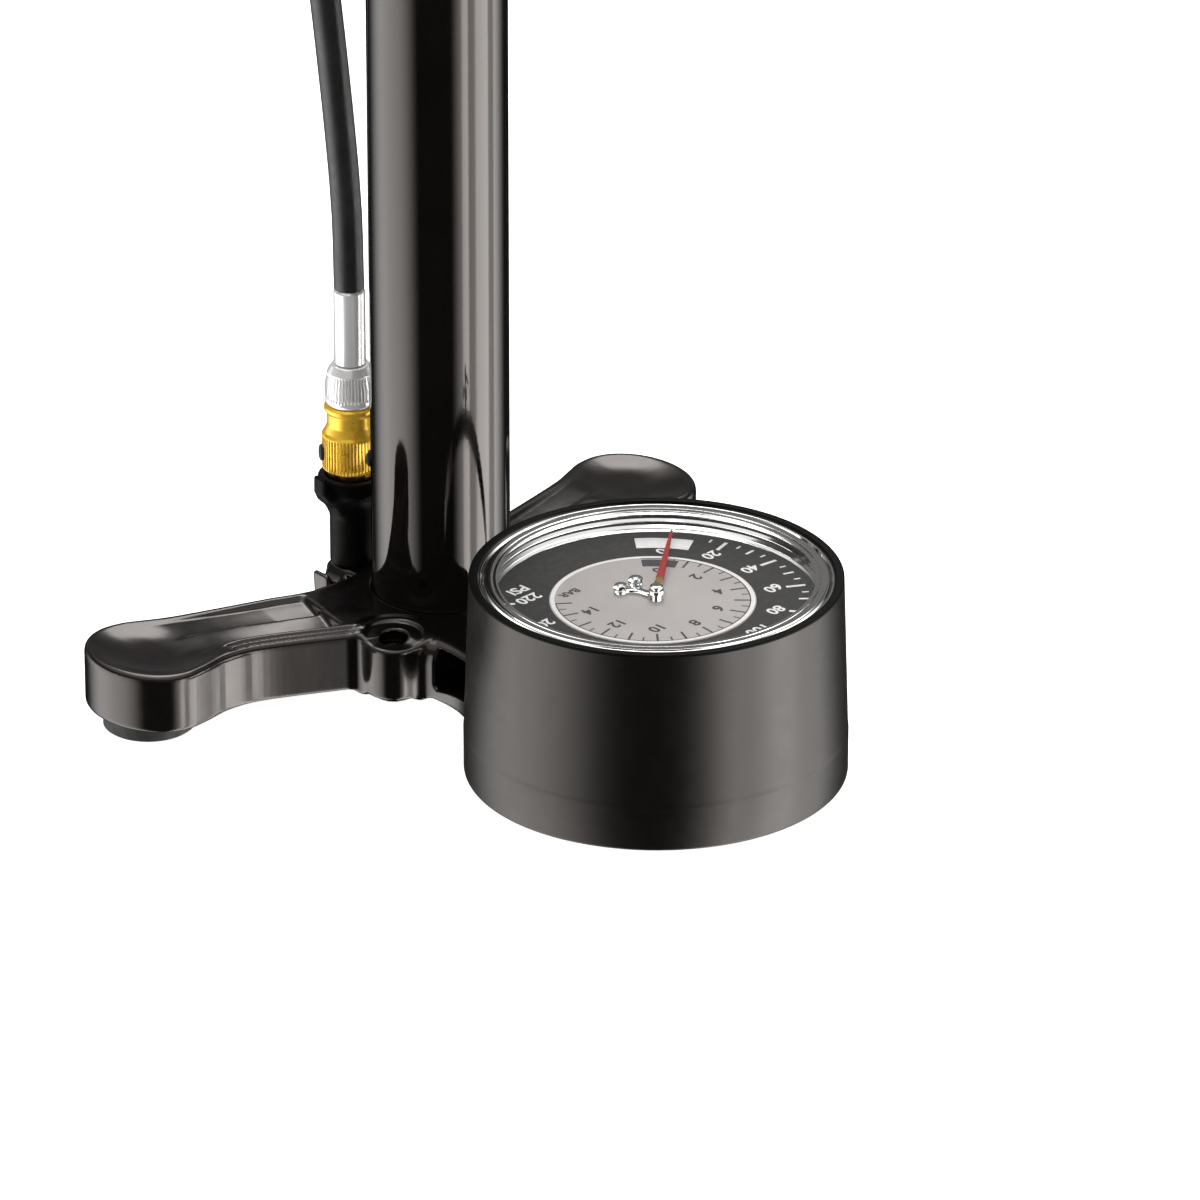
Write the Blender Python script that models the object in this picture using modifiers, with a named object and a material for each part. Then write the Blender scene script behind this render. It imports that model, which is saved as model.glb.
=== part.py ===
"""Floor bike pump with a cast base, a dial gauge on a front arm, a barrel, a plunger with a T handle and a hose that parks in a dock behind the barrel.

All lengths are in millimetres and turned into metres on the way out. The barrel stands on the Z axis of the pump frame; the gauge is in front of it, along -Y.
"""

import math

import bmesh
import bpy
from mathutils import Vector

MM = 0.001

# Barrel and cap
BARREL_R, BARREL_BORE_R = 19.0, 17.2
BARREL_Z0, BARREL_Z1 = 16.0, 545.0
CAP_R, CAP_Z0, CAP_Z1 = 22.5, 518.0, 556.0
ROD_R = 6.0

# Base casting
BASE_Z0, BASE_Z1 = 5.5, 22.5
HUB_R = 25.0
HUB_FLOOR_Z = 15.7
PADDLE_X, PADDLE_Y, PADDLE_AX, PADDLE_AY = 86.7, 19.5, 15.7, 19.7
LEG_BACK = ((29.3, 20.9), (35.1, 22.5), (40.5, 24.5), (49.2, 27.0), (58.9, 29.8), (68.9, 32.9), (74.8, 35.5), (80.9, 38.3))
LEG_FRONT = ((80.0, 0.7), (74.0, 2.0), (67.0, 1.9), (60.2, 0.0), (49.8, -4.5), (38.7, -9.6))
BOSS_X, BOSS_Y, BOSS_R, BOSS_Z1 = 30.0, -16.0, 8.0, 20.5
ARM_SIDE = ((26.6, -26.5), (26.2, -33.5), (27.0, -40.0), (29.5, -47.0), (33.0, -54.0))
POCKET_Z = 20.0

# Gauge
GAUGE_Y = -90.0
TRAY_R, TRAY_Z0, TRAY_Z1, TRAY_FLOOR_Z = 51.6, 0.4, 11.9, 6.0
CAN_R_TOP, CAN_R_LOW, CAN_Z0, CAN_Z1 = 50.0, 51.2, 12.3, 56.8
DIAL_Z = 49.2
DIAL_ZERO_DEG = 43.0

# Hose, chuck and dock
CHUCK_Y = 38.6
DOCK_R, DOCK_Z1 = 9.0, 41.0
HOSE_R = 4.25
NIPPLE_X, NIPPLE_Y = 22.0, 16.0
ARCH_Y, ARCH_Z, ARCH_R = 36.0, 500.0, 38.0
HOSE_START_Z, HOSE_END_Z = 52.3, 98.3

# Handle
BAR_Z, BAR_R, BAR_HALF = 594.0, 5.0, 121.0
HUB_HALF, GRIP_END, CAP_END = 21.0, 118.0, 125.0

# The part's origin is under the middle of its bounding box.
Y_SHIFT = (-GAUGE_Y + TRAY_R - (CHUCK_Y + DOCK_R)) / 2.0

for old in list(bpy.data.objects):
    bpy.data.objects.remove(old, do_unlink=True)

parts = bpy.data.collections.new("floor_bike_pump")
cutters = bpy.data.collections.new("floor_bike_pump_cutters")
bpy.context.scene.collection.children.link(parts)
bpy.context.scene.collection.children.link(cutters)
cutters.hide_render = True


def empty(name, at, parent=None, base=(0.0, 0.0, 0.0)):
    obj = bpy.data.objects.new(name, None)
    obj.empty_display_size = 0.02
    obj.parent = parent
    obj.location = (Vector(at) - Vector(base)) * MM
    parts.objects.link(obj)
    obj["at"] = tuple(at)
    return obj


frame = empty("pump_frame", (0.0, 0.0, 0.0))
frame.location = (0.0, Y_SHIFT * MM, 0.0)
plunger_axis = empty("plunger_axis", (0.0, 0.0, 0.0), frame)
needle_axis = empty("needle_axis", (0.0, GAUGE_Y, DIAL_Z), frame)
valve_axis = empty("valve_axis", (0.0, 0.0, 0.0), frame)
chuck_axis = empty("chuck_axis", (0.0, CHUCK_Y, 50.0), frame)


def material(name, colour, roughness, metallic=0.0):
    found = bpy.data.materials.new(name)
    found.use_nodes = True
    shader = found.node_tree.nodes["Principled BSDF"]
    shader.inputs["Base Color"].default_value = (*colour, 1.0)
    shader.inputs["Roughness"].default_value = roughness
    shader.inputs["Metallic"].default_value = metallic
    return found


BLACK_PAINT = material("black_paint", (0.012, 0.012, 0.013), 0.25)
BLACK_SATIN = material("black_satin", (0.02, 0.02, 0.021), 0.45)
BLACK_RUBBER = material("black_rubber", (0.02, 0.02, 0.02), 0.8)
CHROME = material("chrome", (0.82, 0.82, 0.82), 0.08, 1.0)
STEEL = material("steel", (0.55, 0.55, 0.56), 0.3, 1.0)
SILVER = material("silver_aluminium", (0.78, 0.79, 0.8), 0.2, 1.0)
GOLD = material("gold_anodised", (0.85, 0.55, 0.12), 0.25, 1.0)
BRASS = material("brass", (0.7, 0.5, 0.2), 0.3, 1.0)
DIAL_DARK = material("dial_dark", (0.06, 0.06, 0.065), 0.5)
DIAL_LIGHT = material("dial_light", (0.5, 0.5, 0.49), 0.45)
RED = material("needle_red", (0.6, 0.03, 0.02), 0.4)
CLEAR = material("clear_lens", (0.95, 0.97, 0.97), 0.03)
WOOD = material("grip_wood", (0.3, 0.15, 0.06), 0.45)
PLASTIC = material("black_plastic", (0.025, 0.025, 0.026), 0.4)


def finish(obj, mat, parent, at, cutter=False):
    base = parent["at"] if parent is not frame else (0.0, 0.0, 0.0)
    obj.parent = parent
    obj.location = (Vector(at) - Vector(tuple(base))) * MM
    (cutters if cutter else parts).objects.link(obj)
    if cutter:
        obj.hide_render = True
        obj.display_type = "WIRE"
    else:
        own = mat.copy()
        own.name = obj.name + "_material"
        obj.data.materials.clear()
        obj.data.materials.append(own)
    return obj


def turned(name, profile, seg, mat=None, parent=frame, at=(0.0, 0.0, 0.0), turn=None, cutter=False, smooth=True):
    """A turned solid. The profile is radius and height, down its outer side; it is a closed loop unless it starts and ends on the axis."""
    mesh = bpy.data.meshes.new(name)
    points = [(r * MM, 0.0, z * MM) for r, z in profile]
    edges = [(i, i + 1) for i in range(len(points) - 1)]
    if not (abs(profile[0][0]) < 1e-9 and abs(profile[-1][0]) < 1e-9):
        edges.append((len(points) - 1, 0))
    mesh.from_pydata(points, edges, [])
    obj = bpy.data.objects.new(name, mesh)
    screw = obj.modifiers.new("turn", "SCREW")
    screw.axis = "Z"
    screw.angle = math.tau
    screw.screw_offset = 0.0
    screw.steps = screw.render_steps = seg
    screw.use_merge_vertices = True
    screw.merge_threshold = 0.00001
    screw.use_smooth_shade = smooth
    if turn is not None:
        obj.rotation_euler = turn
    return finish(obj, mat, parent, at, cutter)


def disc(name, r, z0, z1, seg, mat=None, parent=frame, at=(0.0, 0.0, 0.0), turn=None, cutter=False):
    """A plain cylinder along its own Z."""
    mesh = bpy.data.meshes.new(name)
    bm = bmesh.new()
    bmesh.ops.create_cone(bm, cap_ends=True, cap_tris=False, segments=seg, radius1=r * MM, radius2=r * MM, depth=(z1 - z0) * MM)
    bmesh.ops.translate(bm, verts=bm.verts, vec=(0.0, 0.0, (z0 + z1) / 2 * MM))
    for face in bm.faces:
        face.smooth = len(face.verts) == 4
    bm.to_mesh(mesh)
    bm.free()
    obj = bpy.data.objects.new(name, mesh)
    if turn is not None:
        obj.rotation_euler = turn
    return finish(obj, mat, parent, at, cutter)


def ring(name, r0, r1, z0, z1, seg, mat=None, parent=frame, at=(0.0, 0.0, 0.0), turn=None):
    return turned(name, ((r0, z1), (r1, z1), (r1, z0), (r0, z0)), seg, mat, parent, at, turn)


def box(name, x0, x1, y0, y1, z0, z1, mat=None, parent=frame, cutter=False):
    mesh = bpy.data.meshes.new(name)
    bm = bmesh.new()
    bmesh.ops.create_cube(bm, size=1.0)
    bmesh.ops.scale(bm, verts=bm.verts, vec=((x1 - x0) * MM, (y1 - y0) * MM, (z1 - z0) * MM))
    bm.to_mesh(mesh)
    bm.free()
    obj = bpy.data.objects.new(name, mesh)
    return finish(obj, mat, parent, ((x0 + x1) / 2, (y0 + y1) / 2, (z0 + z1) / 2), cutter)


def plate(name, outline, low, high, mat=None, parent=frame, at=(0.0, 0.0, 0.0), upright=False, cutter=False):
    """A flat outline given thickness: in the XY plane from z low to high, or upright in XZ from y low to high."""
    data = bpy.data.curves.new(name + "_outline", "CURVE")
    data.dimensions = "2D"
    data.fill_mode = "BOTH"
    data.extrude = (high - low) / 2 * MM
    spline = data.splines.new("POLY")
    spline.points.add(len(outline) - 1)
    for point, (x, y) in zip(spline.points, outline):
        point.co = (x * MM, y * MM, 0.0, 1.0)
    spline.use_cyclic_u = True
    curve = bpy.data.objects.new(name + "_outline", data)
    parts.objects.link(curve)
    if upright:
        curve.rotation_euler = (math.pi / 2, 0.0, 0.0)
        curve.location = (0.0, (low + high) / 2 * MM, 0.0)
    else:
        curve.location = (0.0, 0.0, (low + high) / 2 * MM)
    bpy.context.view_layer.update()
    mesh = bpy.data.meshes.new_from_object(curve.evaluated_get(bpy.context.evaluated_depsgraph_get()))
    mesh.transform(curve.matrix_world)
    bpy.data.objects.remove(curve, do_unlink=True)
    bm = bmesh.new()
    bm.from_mesh(mesh)
    bmesh.ops.remove_doubles(bm, verts=bm.verts, dist=1e-6)
    bmesh.ops.recalc_face_normals(bm, faces=bm.faces)
    bm.to_mesh(mesh)
    bm.free()
    mesh.name = name
    obj = bpy.data.objects.new(name, mesh)
    return finish(obj, mat, parent, at, cutter)


def cut(obj, *tools, how="DIFFERENCE"):
    for tool in tools:
        step = obj.modifiers.new(how.lower(), "BOOLEAN")
        step.operation = how
        step.solver = "EXACT"
        step.object = tool


def tube(name, points, r, sides_res, mat, parent=frame):
    """A bent tube along a row of points."""
    data = bpy.data.curves.new(name, "CURVE")
    data.dimensions = "3D"
    data.bevel_depth = r * MM
    data.bevel_resolution = sides_res
    data.use_fill_caps = True
    spline = data.splines.new("POLY")
    spline.points.add(len(points) - 1)
    for point, at in zip(spline.points, points):
        point.co = (at[0] * MM, at[1] * MM, at[2] * MM, 1.0)
    obj = bpy.data.objects.new(name, data)
    return finish(obj, mat, parent, (0.0, 0.0, 0.0))


def arc(cx, cy, rx, ry, start, end, count):
    """Points on an ellipse from one angle in degrees to another."""
    step = (end - start) / (count - 1)
    return [(cx + rx * math.cos(math.radians(start + step * i)), cy + ry * math.sin(math.radians(start + step * i))) for i in range(count)]


def hull(points):
    """The outline around a set of points."""
    points = sorted(set(points))
    found = []
    for order in (points, points[::-1]):
        side = []
        for p in order:
            while len(side) > 1 and (side[-1][0] - side[-2][0]) * (p[1] - side[-2][1]) - (side[-1][1] - side[-2][1]) * (p[0] - side[-2][0]) <= 1e-9:
                side.pop()
            side.append(p)
        found += side[:-1]
    return found


def both_sides(right):
    """A right-hand outline, from the back round to the front, closed by its mirror image."""
    return list(right) + [(-x, y) for x, y in reversed(right) if abs(x) > 1e-6]


# ---------------------------------------------------------------- base casting

plan = both_sides(
    arc(0.0, 0.0, HUB_R, HUB_R, 90.0, 58.0, 5)
    + list(LEG_BACK)
    + arc(PADDLE_X, PADDLE_Y, PADDLE_AX, PADDLE_AY, 94.0, -92.0, 15)
    + list(LEG_FRONT)
    + arc(BOSS_X, BOSS_Y, BOSS_R, BOSS_R, 14.0, -106.0, 8)
    + list(ARM_SIDE)
)
base = plate("base_casting", plan, BASE_Z0, BASE_Z1, BLACK_PAINT)
tray = turned(
    "tray_body",
    ((0.0, TRAY_Z1), (TRAY_R, TRAY_Z1), (TRAY_R, TRAY_Z0 + 1.2), (TRAY_R - 1.2, TRAY_Z0), (0.0, TRAY_Z0)),
    48,
    at=(0.0, GAUGE_Y, 0.0),
    cutter=True,
)
tongue = box("tongue_body", -5.8, 5.8, 20.6, CHUCK_Y + 5.2, BASE_Z0 + 0.2, 16.2, cutter=True)
cleat_half = [(5.2, 14.6), (8.6, 12.6), (10.6, 15.4), (11.8, 15.0), (11.6, 9.4), (9.0, 6.2)]
cleat = plate("cleat_body", [(-x, z) for x, z in cleat_half] + [(x, z) for x, z in reversed(cleat_half)], CHUCK_Y - 3.4, CHUCK_Y + 3.4, upright=True, cutter=True)
cut(base, tray, tongue, cleat, how="UNION")

gauge_room = disc("gauge_room", TRAY_R - 3.3, TRAY_FLOOR_Z, 40.0, 48, at=(0.0, GAUGE_Y, 0.0), cutter=True)
can_seat = disc("can_seat", TRAY_R - 0.3, 12.0, 40.0, 48, at=(0.0, GAUGE_Y, 0.0), cutter=True)
pad_room = disc("pad_room", 47.0, -5.0, 2.9, 48, at=(0.0, GAUGE_Y, 0.0), cutter=True)
stem_hole = disc("stem_hole", 4.4, -5.0, 20.0, 16, at=(0.0, GAUGE_Y, 0.0), cutter=True)
barrel_seat = disc("barrel_seat", BARREL_R + 0.3, HUB_FLOOR_Z, 40.0, 32, cutter=True)
valve_room = disc("valve_room", 6.2, -5.0, 13.0, 20, cutter=True)
valve_seat = disc("valve_seat", 2.6, 10.0, 25.0, 12, cutter=True)
nipple_hole = disc("nipple_hole", 3.6, 8.6, 40.0, 12, at=(NIPPLE_X, NIPPLE_Y, 0.0), cutter=True)
outlet_way = disc("outlet_way", 1.5, 0.0, math.hypot(NIPPLE_X, NIPPLE_Y), 8, at=(0.0, 0.0, 10.4), turn=(0.0, math.pi / 2, math.atan2(NIPPLE_Y, NIPPLE_X)), cutter=True)
gauge_way = disc("gauge_way", 2.2, 0.0, 50.0, 8, at=(0.0, 0.0, 9.6), turn=(math.pi / 2, 0.0, 0.0), cutter=True)
cut(base, gauge_room, can_seat, pad_room, stem_hole, barrel_seat, valve_room, valve_seat, nipple_hole, outlet_way, gauge_way)

leg_pocket = [(33.5, 17.6), (40.5, 20.3), (49.2, 22.9), (58.9, 25.7), (68.9, 28.8), (76.5, 32.0)] + arc(PADDLE_X, PADDLE_Y, 11.7, 15.4, 92.0, -92.0, 11) + [(79.0, 4.6), (72.0, 6.4), (66.0, 6.6), (59.5, 4.9), (49.0, 0.3), (39.5, -4.2), (36.5, -4.4)]
low_pocket = [(40.0, 19.6), (52.0, 23.4), (66.0, 27.6), (66.0, 7.2), (52.0, 1.2), (42.0, -3.4)]
for side, sign in (("left", -1.0), ("right", 1.0)):
    top_cut = plate("leg_pocket_" + side, [(sign * x, y) for x, y in leg_pocket], POCKET_Z, 40.0, cutter=True)
    low_cut = plate("leg_hollow_" + side, [(sign * x, y) for x, y in low_pocket], -5.0, 15.4, cutter=True)
    boss_top = disc("boss_top_" + side, BOSS_R + 0.4, BOSS_Z1, 40.0, 24, at=(sign * BOSS_X, BOSS_Y, 0.0), cutter=True)
    boss_bore = disc("boss_bore_" + side, 3.7, 14.0, 40.0, 16, at=(sign * BOSS_X, BOSS_Y, 0.0), cutter=True)
    boss_hole = disc("boss_hole_" + side, 2.7, -5.0, 16.0, 12, at=(sign * BOSS_X, BOSS_Y, 0.0), cutter=True)
    x0, x1 = sorted((sign * 15.0, sign * 40.0))
    arm_web = box("arm_web_" + side, x0, x1, -39.2, -28.2, 8.8, 20.0, cutter=True)
    cut(base, top_cut, low_cut, boss_top, boss_bore, boss_hole, arm_web)
for tag, y in (("front", CHUCK_Y - 3.0), ("rear", CHUCK_Y + 3.0)):
    cut(base, disc("dock_hole_" + tag, 1.8, -5.0, 30.0, 8, at=(0.0, y, 0.0), cutter=True), disc("dock_bore_" + tag, 2.7, -5.0, 9.2, 12, at=(0.0, y, 0.0), cutter=True))

cover_plan = hull([(round(x, 4), round(y, 4)) for x, y in arc(BOSS_X, BOSS_Y, 5.0, 5.0, 0.0, 330.0, 12) + arc(-BOSS_X, BOSS_Y, 5.0, 5.0, 0.0, 330.0, 12) + arc(0.0, 0.0, 15.0, 15.0, 0.0, 345.0, 24)])
cover = plate("valve_cover", cover_plan, 4.0, 5.2, STEEL)
for side, sign in (("left", -1.0), ("right", 1.0)):
    cut(cover, disc("cover_hole_" + side, 2.7, -5.0, 14.0, 12, at=(sign * BOSS_X, BOSS_Y, 0.0), cutter=True))
for side, sign in (("left", -1.0), ("right", 1.0)):
    turned("base_bolt_" + side, ((0.0, 18.2), (3.4, 18.2), (3.4, 14.3), (2.4, 14.3), (2.4, 4.2), (0.0, 4.2)), 12, STEEL, at=(sign * BOSS_X, BOSS_Y, 0.0))

for side, sign in (("left", -1.0), ("right", 1.0)):
    turned("foot_pad_" + side, ((0.0, 5.2), (12.6, 5.2), (12.6, 1.0), (11.6, 0.0), (0.0, 0.0)), 24, BLACK_RUBBER, at=(sign * PADDLE_X, PADDLE_Y, 0.0))
ring("gauge_foot_ring", 32.0, 46.6, 0.0, 2.6, 40, BLACK_RUBBER, at=(0.0, GAUGE_Y, 0.0))

turned("check_valve_poppet", ((0.0, 12.7), (4.4, 12.7), (4.4, 10.6), (1.5, 10.6), (1.5, 8.2), (0.0, 8.2)), 12, BRASS, valve_axis)
coil = []
for i in range(37):
    turn = math.tau * i / 9.0
    coil.append((3.2 * math.cos(turn), 3.2 * math.sin(turn), 6.15 + 3.75 * i / 36.0))
tube("check_valve_spring", coil, 0.42, 0, STEEL)

dock_half = [(8.2, 39.2), (9.4, 40.2), (10.5, 43.5), (11.8, 43.3), (11.7, 37.8), (8.6, 34.0), (5.0, 31.0)]
dock = disc("chuck_dock", 5.6, 16.5, 36.0, 20, PLASTIC, at=(0.0, CHUCK_Y, 0.0))
dock_horns = plate("dock_horn_body", [(-x, z) for x, z in dock_half] + [(x, z) for x, z in reversed(dock_half)], CHUCK_Y - 3.2, CHUCK_Y + 3.2, upright=True, cutter=True)
dock_cup = disc("dock_cup_body", DOCK_R, 33.3, DOCK_Z1, 24, at=(0.0, CHUCK_Y, 0.0), cutter=True)
dock_bore = disc("dock_cup_bore", 7.2, 38.0, 60.0, 24, at=(0.0, CHUCK_Y, 0.0), cutter=True)
cut(dock, dock_horns, dock_cup, how="UNION")
cut(dock, dock_bore)
for tag, y in (("front", CHUCK_Y - 3.0), ("rear", CHUCK_Y + 3.0)):
    cut(dock, disc("dock_tap_" + tag, 1.8, 10.0, 25.0, 8, at=(0.0, y, 0.0), cutter=True))
    turned("dock_screw_" + tag, ((0.0, 24.0), (1.4, 24.0), (1.4, 8.9), (2.4, 8.9), (2.4, 6.6), (0.0, 6.6)), 8, STEEL, at=(0.0, y, 0.0))

# ---------------------------------------------------------------- gauge

G = (0.0, GAUGE_Y, 0.0)
turned(
    "gauge_can",
    ((47.7, CAN_Z1), (CAN_R_TOP - 0.8, CAN_Z1), (CAN_R_TOP, CAN_Z1 - 0.8), (CAN_R_LOW, CAN_Z0), (48.2, CAN_Z0), (48.2, 11.5), (46.0, 11.5), (46.0, 45.0), (47.7, 45.0)),
    48,
    BLACK_SATIN,
    at=G,
)
ring("movement_plate", 3.6, 47.3, 45.3, DIAL_Z - 1.5, 40, STEEL, at=G)
ring("dial_plate", 3.2, 46.4, DIAL_Z - 1.2, DIAL_Z, 40, DIAL_DARK, at=G)
ring("dial_inner_disc", 3.2, 27.4, DIAL_Z + 0.3, DIAL_Z + 0.7, 32, DIAL_LIGHT, at=G)
turned("bezel_ring", ((44.6, 56.2), (47.3, 56.2), (47.3, DIAL_Z + 0.3), (43.1, DIAL_Z + 0.3), (43.1, 54.5), (44.6, 54.5)), 48, CHROME, at=G)
disc("gauge_lens", 44.25, 54.8, 56.0, 48, CLEAR, at=G)
turned("gauge_stem", ((0.0, 40.0), (6.0, 40.0), (6.0, 36.0), (5.0, 36.0), (5.0, 12.4), (9.0, 12.4), (9.0, 6.3), (4.0, 6.3), (4.0, 1.2), (1.5, 1.2), (1.5, 30.0), (0.0, 30.0)), 16, BRASS, at=G)
turned("stem_nut", ((4.3, 2.6), (7.6, 2.6), (7.6, 1.0), (4.3, 1.0)), 24, BRASS, at=G)
coil = []
for i in range(37):
    turn = math.tau * i / 11.0
    reach = min(1.0, i / 8.0)
    r = 7.0 + 8.0 * reach * reach * (3.0 - 2.0 * reach)
    coil.append((r * math.cos(turn), GAUGE_Y + r * math.sin(turn), 17.0 + 18.0 * i / 36.0))
tube("bourdon_coil", coil, 1.3, 1, BRASS)
tube("gauge_air_tube", [(0.0, -9.0, 9.6), (0.0, -40.0, 9.6), (0.0, -80.5, 9.6)], 1.6, 2, BRASS)

N = (0.0, GAUGE_Y, 0.0)
disc("needle_shaft", 1.4, 41.0, DIAL_Z + 2.1, 12, STEEL, needle_axis, N)
aim = math.radians(DIAL_ZERO_DEG)
blade = [(3.4 * math.cos(math.radians(a)), 3.4 * math.sin(math.radians(a))) for a in range(25, 336, 31)] + [(12.0, -1.35), (38.2, -0.4), (39.2, 0.0), (38.2, 0.4), (12.0, 1.35)]
blade = [(x * math.cos(aim) - y * math.sin(aim), x * math.sin(aim) + y * math.cos(aim)) for x, y in blade]
plate("gauge_needle", blade, DIAL_Z + 2.4, DIAL_Z + 3.0, RED, needle_axis, N)
turned("needle_hub", ((0.0, DIAL_Z + 4.8), (1.9, DIAL_Z + 4.8), (2.6, DIAL_Z + 4.2), (2.6, DIAL_Z + 3.3), (0.0, DIAL_Z + 3.3)), 16, CHROME, needle_axis, N)
tips = [(r * math.cos(math.radians(a)), r * math.sin(math.radians(a))) for r, a in ((10.0, 83.0), (10.2, 117.5))]
outer = [(round(x, 4), round(y, 4)) for cx, cy in tips for x, y in arc(cx, cy, 2.2, 2.2, 0.0, 330.0, 12)]
foot = [(round(x, 4), round(y, 4)) for x, y in arc(0.0, 4.9, 2.4, 0.5, 0.0, 180.0, 5)]
plate("dial_bridge", hull(outer + foot), DIAL_Z + 1.0, DIAL_Z + 1.7, CHROME, at=N)
for tag, tip in zip(("inner", "outer"), tips):
    turned("bridge_screw_" + tag, ((0.0, DIAL_Z + 3.3), (1.2, DIAL_Z + 3.3), (1.8, DIAL_Z + 2.8), (1.8, DIAL_Z + 2.0), (0.0, DIAL_Z + 2.0)), 12, CHROME, at=(tip[0], GAUGE_Y + tip[1], 0.0))

# ---------------------------------------------------------------- barrel and cap

ring("barrel_tube", BARREL_BORE_R, BARREL_R, BARREL_Z0, BARREL_Z1, 32, BLACK_PAINT)
turned(
    "barrel_cap",
    ((7.6, CAP_Z1), (CAP_R - 2.0, CAP_Z1), (CAP_R, CAP_Z1 - 2.0), (CAP_R, CAP_Z0), (BARREL_R + 0.3, CAP_Z0), (BARREL_R + 0.3, BARREL_Z1 + 0.3), (9.4, BARREL_Z1 + 0.3), (9.4, CAP_Z1 - 3.0), (7.6, CAP_Z1 - 3.0)),
    32,
    BLACK_SATIN,
)
ring("rod_bushing", ROD_R + 0.3, 9.1, BARREL_Z1 + 0.6, CAP_Z1 - 3.3, 20, BRASS)
turned("rod_wiper", ((ROD_R + 0.3, CAP_Z1 + 1.0), (6.9, CAP_Z1 + 1.0), (7.3, CAP_Z1 - 0.2), (7.3, CAP_Z1 - 3.0), (ROD_R + 0.3, CAP_Z1 - 3.0)), 20, BLACK_RUBBER)

hook = ring("hose_hook", CAP_R + 0.3, CAP_R + 2.9, 523.0, 537.0, 32, PLASTIC)
hook_arm = box("hook_arm_body", -6.0, 6.0, CAP_R + 1.6, 33.0, 523.6, 534.0, cutter=True)
hook_saddle = box("hook_saddle_body", -9.0, 9.0, 29.4, 42.6, 524.4, 541.0, cutter=True)
groove = [(x, ARCH_Z + z) for x, z in arc(0.0, 0.0, ARCH_R - HOSE_R - 0.75, ARCH_R - HOSE_R - 0.75, 110.0, 70.0, 13)] + [(14.0, 560.0), (-14.0, 560.0)]
hook_groove = plate("hook_groove", groove, ARCH_Y - HOSE_R - 0.4, ARCH_Y + HOSE_R + 0.4, upright=True, cutter=True)
cut(hook, hook_arm, hook_saddle, how="UNION")
cut(hook, hook_groove)

# ---------------------------------------------------------------- plunger

rod = turned("piston_rod", ((4.4, 584.0), (ROD_R, 584.0), (ROD_R, 44.0), (4.0, 44.0), (4.0, 22.0), (2.2, 22.0), (2.2, 45.0), (4.4, 48.0)), 20, CHROME, plunger_axis)
ring("piston_head", 4.3, 16.5, 33.4, 43.7, 32, PLASTIC, plunger_axis)
turned("piston_cup", ((4.3, 33.1), (16.6, 33.1), (16.9, 27.4), (15.2, 27.4), (14.2, 30.2), (4.3, 30.2)), 32, BLACK_RUBBER, plunger_axis)
nut = disc("piston_nut", 7.8, 24.2, 29.9, 6, STEEL, plunger_axis)
cut(nut, disc("nut_bore", 4.3, 20.0, 35.0, 20, parent=plunger_axis, cutter=True))
turned("rod_bumper", ((ROD_R + 0.3, 566.0), (10.4, 566.0), (11.0, 565.2), (11.0, 558.4), (10.2, 557.5), (ROD_R + 0.3, 557.5)), 24, BLACK_RUBBER, plunger_axis)
neck = ((0.0, 592.0), (10.5, 592.0), (10.5, 580.0), (11.8, 571.0), (11.8, 566.4), (0.0, 566.4))
hub = turned("handle_hub", neck, 24, BLACK_SATIN, plunger_axis)
hub_cross = turned("hub_cross_body", ((0.0, HUB_HALF), (13.4, HUB_HALF), (14.6, HUB_HALF - 1.6), (15.2, 9.0), (15.2, -9.0), (14.6, 1.6 - HUB_HALF), (13.4, -HUB_HALF), (0.0, -HUB_HALF)), 24, parent=plunger_axis, at=(0.0, 0.0, BAR_Z), turn=(0.0, math.pi / 2, 0.0), cutter=True)
hub_bore = disc("hub_bore", BAR_R + 0.3, -60.0, 60.0, 16, parent=plunger_axis, at=(0.0, 0.0, BAR_Z), turn=(0.0, math.pi / 2, 0.0), cutter=True)
pin_hole = disc("pin_hole", 1.9, -30.0, 30.0, 8, parent=plunger_axis, at=(0.0, 0.0, 574.0), turn=(math.pi / 2, 0.0, 0.0), cutter=True)
cut(hub, hub_cross, how="UNION")
rod_socket = disc("rod_socket", ROD_R + 0.3, 560.0, 585.0, 20, parent=plunger_axis, cutter=True)
cut(hub, hub_bore, pin_hole, rod_socket)
cut(rod, pin_hole)
disc("roll_pin", 1.6, -11.4, 11.4, 8, STEEL, plunger_axis, (0.0, 0.0, 574.0), turn=(math.pi / 2, 0.0, 0.0))
ring("handle_bar", BAR_R - 1.5, BAR_R, -BAR_HALF, BAR_HALF, 16, STEEL, plunger_axis, (0.0, 0.0, BAR_Z), turn=(0.0, math.pi / 2, 0.0))
grip = [(BAR_R + 0.3, GRIP_END), (11.6, GRIP_END), (13.6, GRIP_END - 2.0), (14.6, 108.0), (14.2, 98.0), (15.2, 84.0), (16.0, 68.0), (15.6, 52.0), (14.2, 38.0), (13.6, 30.0), (14.2, 24.0), (13.4, HUB_HALF + 0.4), (BAR_R + 0.3, HUB_HALF + 0.4)]
for side, sign in (("left", -1.0), ("right", 1.0)):
    turned("grip_" + side, grip, 20, WOOD, plunger_axis, (0.0, 0.0, BAR_Z), turn=(0.0, sign * math.pi / 2, 0.0))
    turned(
        "grip_end_" + side,
        ((0.0, CAP_END), (6.0, CAP_END), (9.8, CAP_END - 1.8), (11.4, CAP_END - 4.4), (11.4, GRIP_END + 0.3), (BAR_R + 0.3, GRIP_END + 0.3), (BAR_R + 0.3, BAR_HALF + 0.3), (0.0, BAR_HALF + 0.3)),
        24,
        SILVER,
        plunger_axis,
        (0.0, 0.0, BAR_Z),
        turn=(0.0, sign * math.pi / 2, 0.0),
    )

# ---------------------------------------------------------------- hose and chuck

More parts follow.
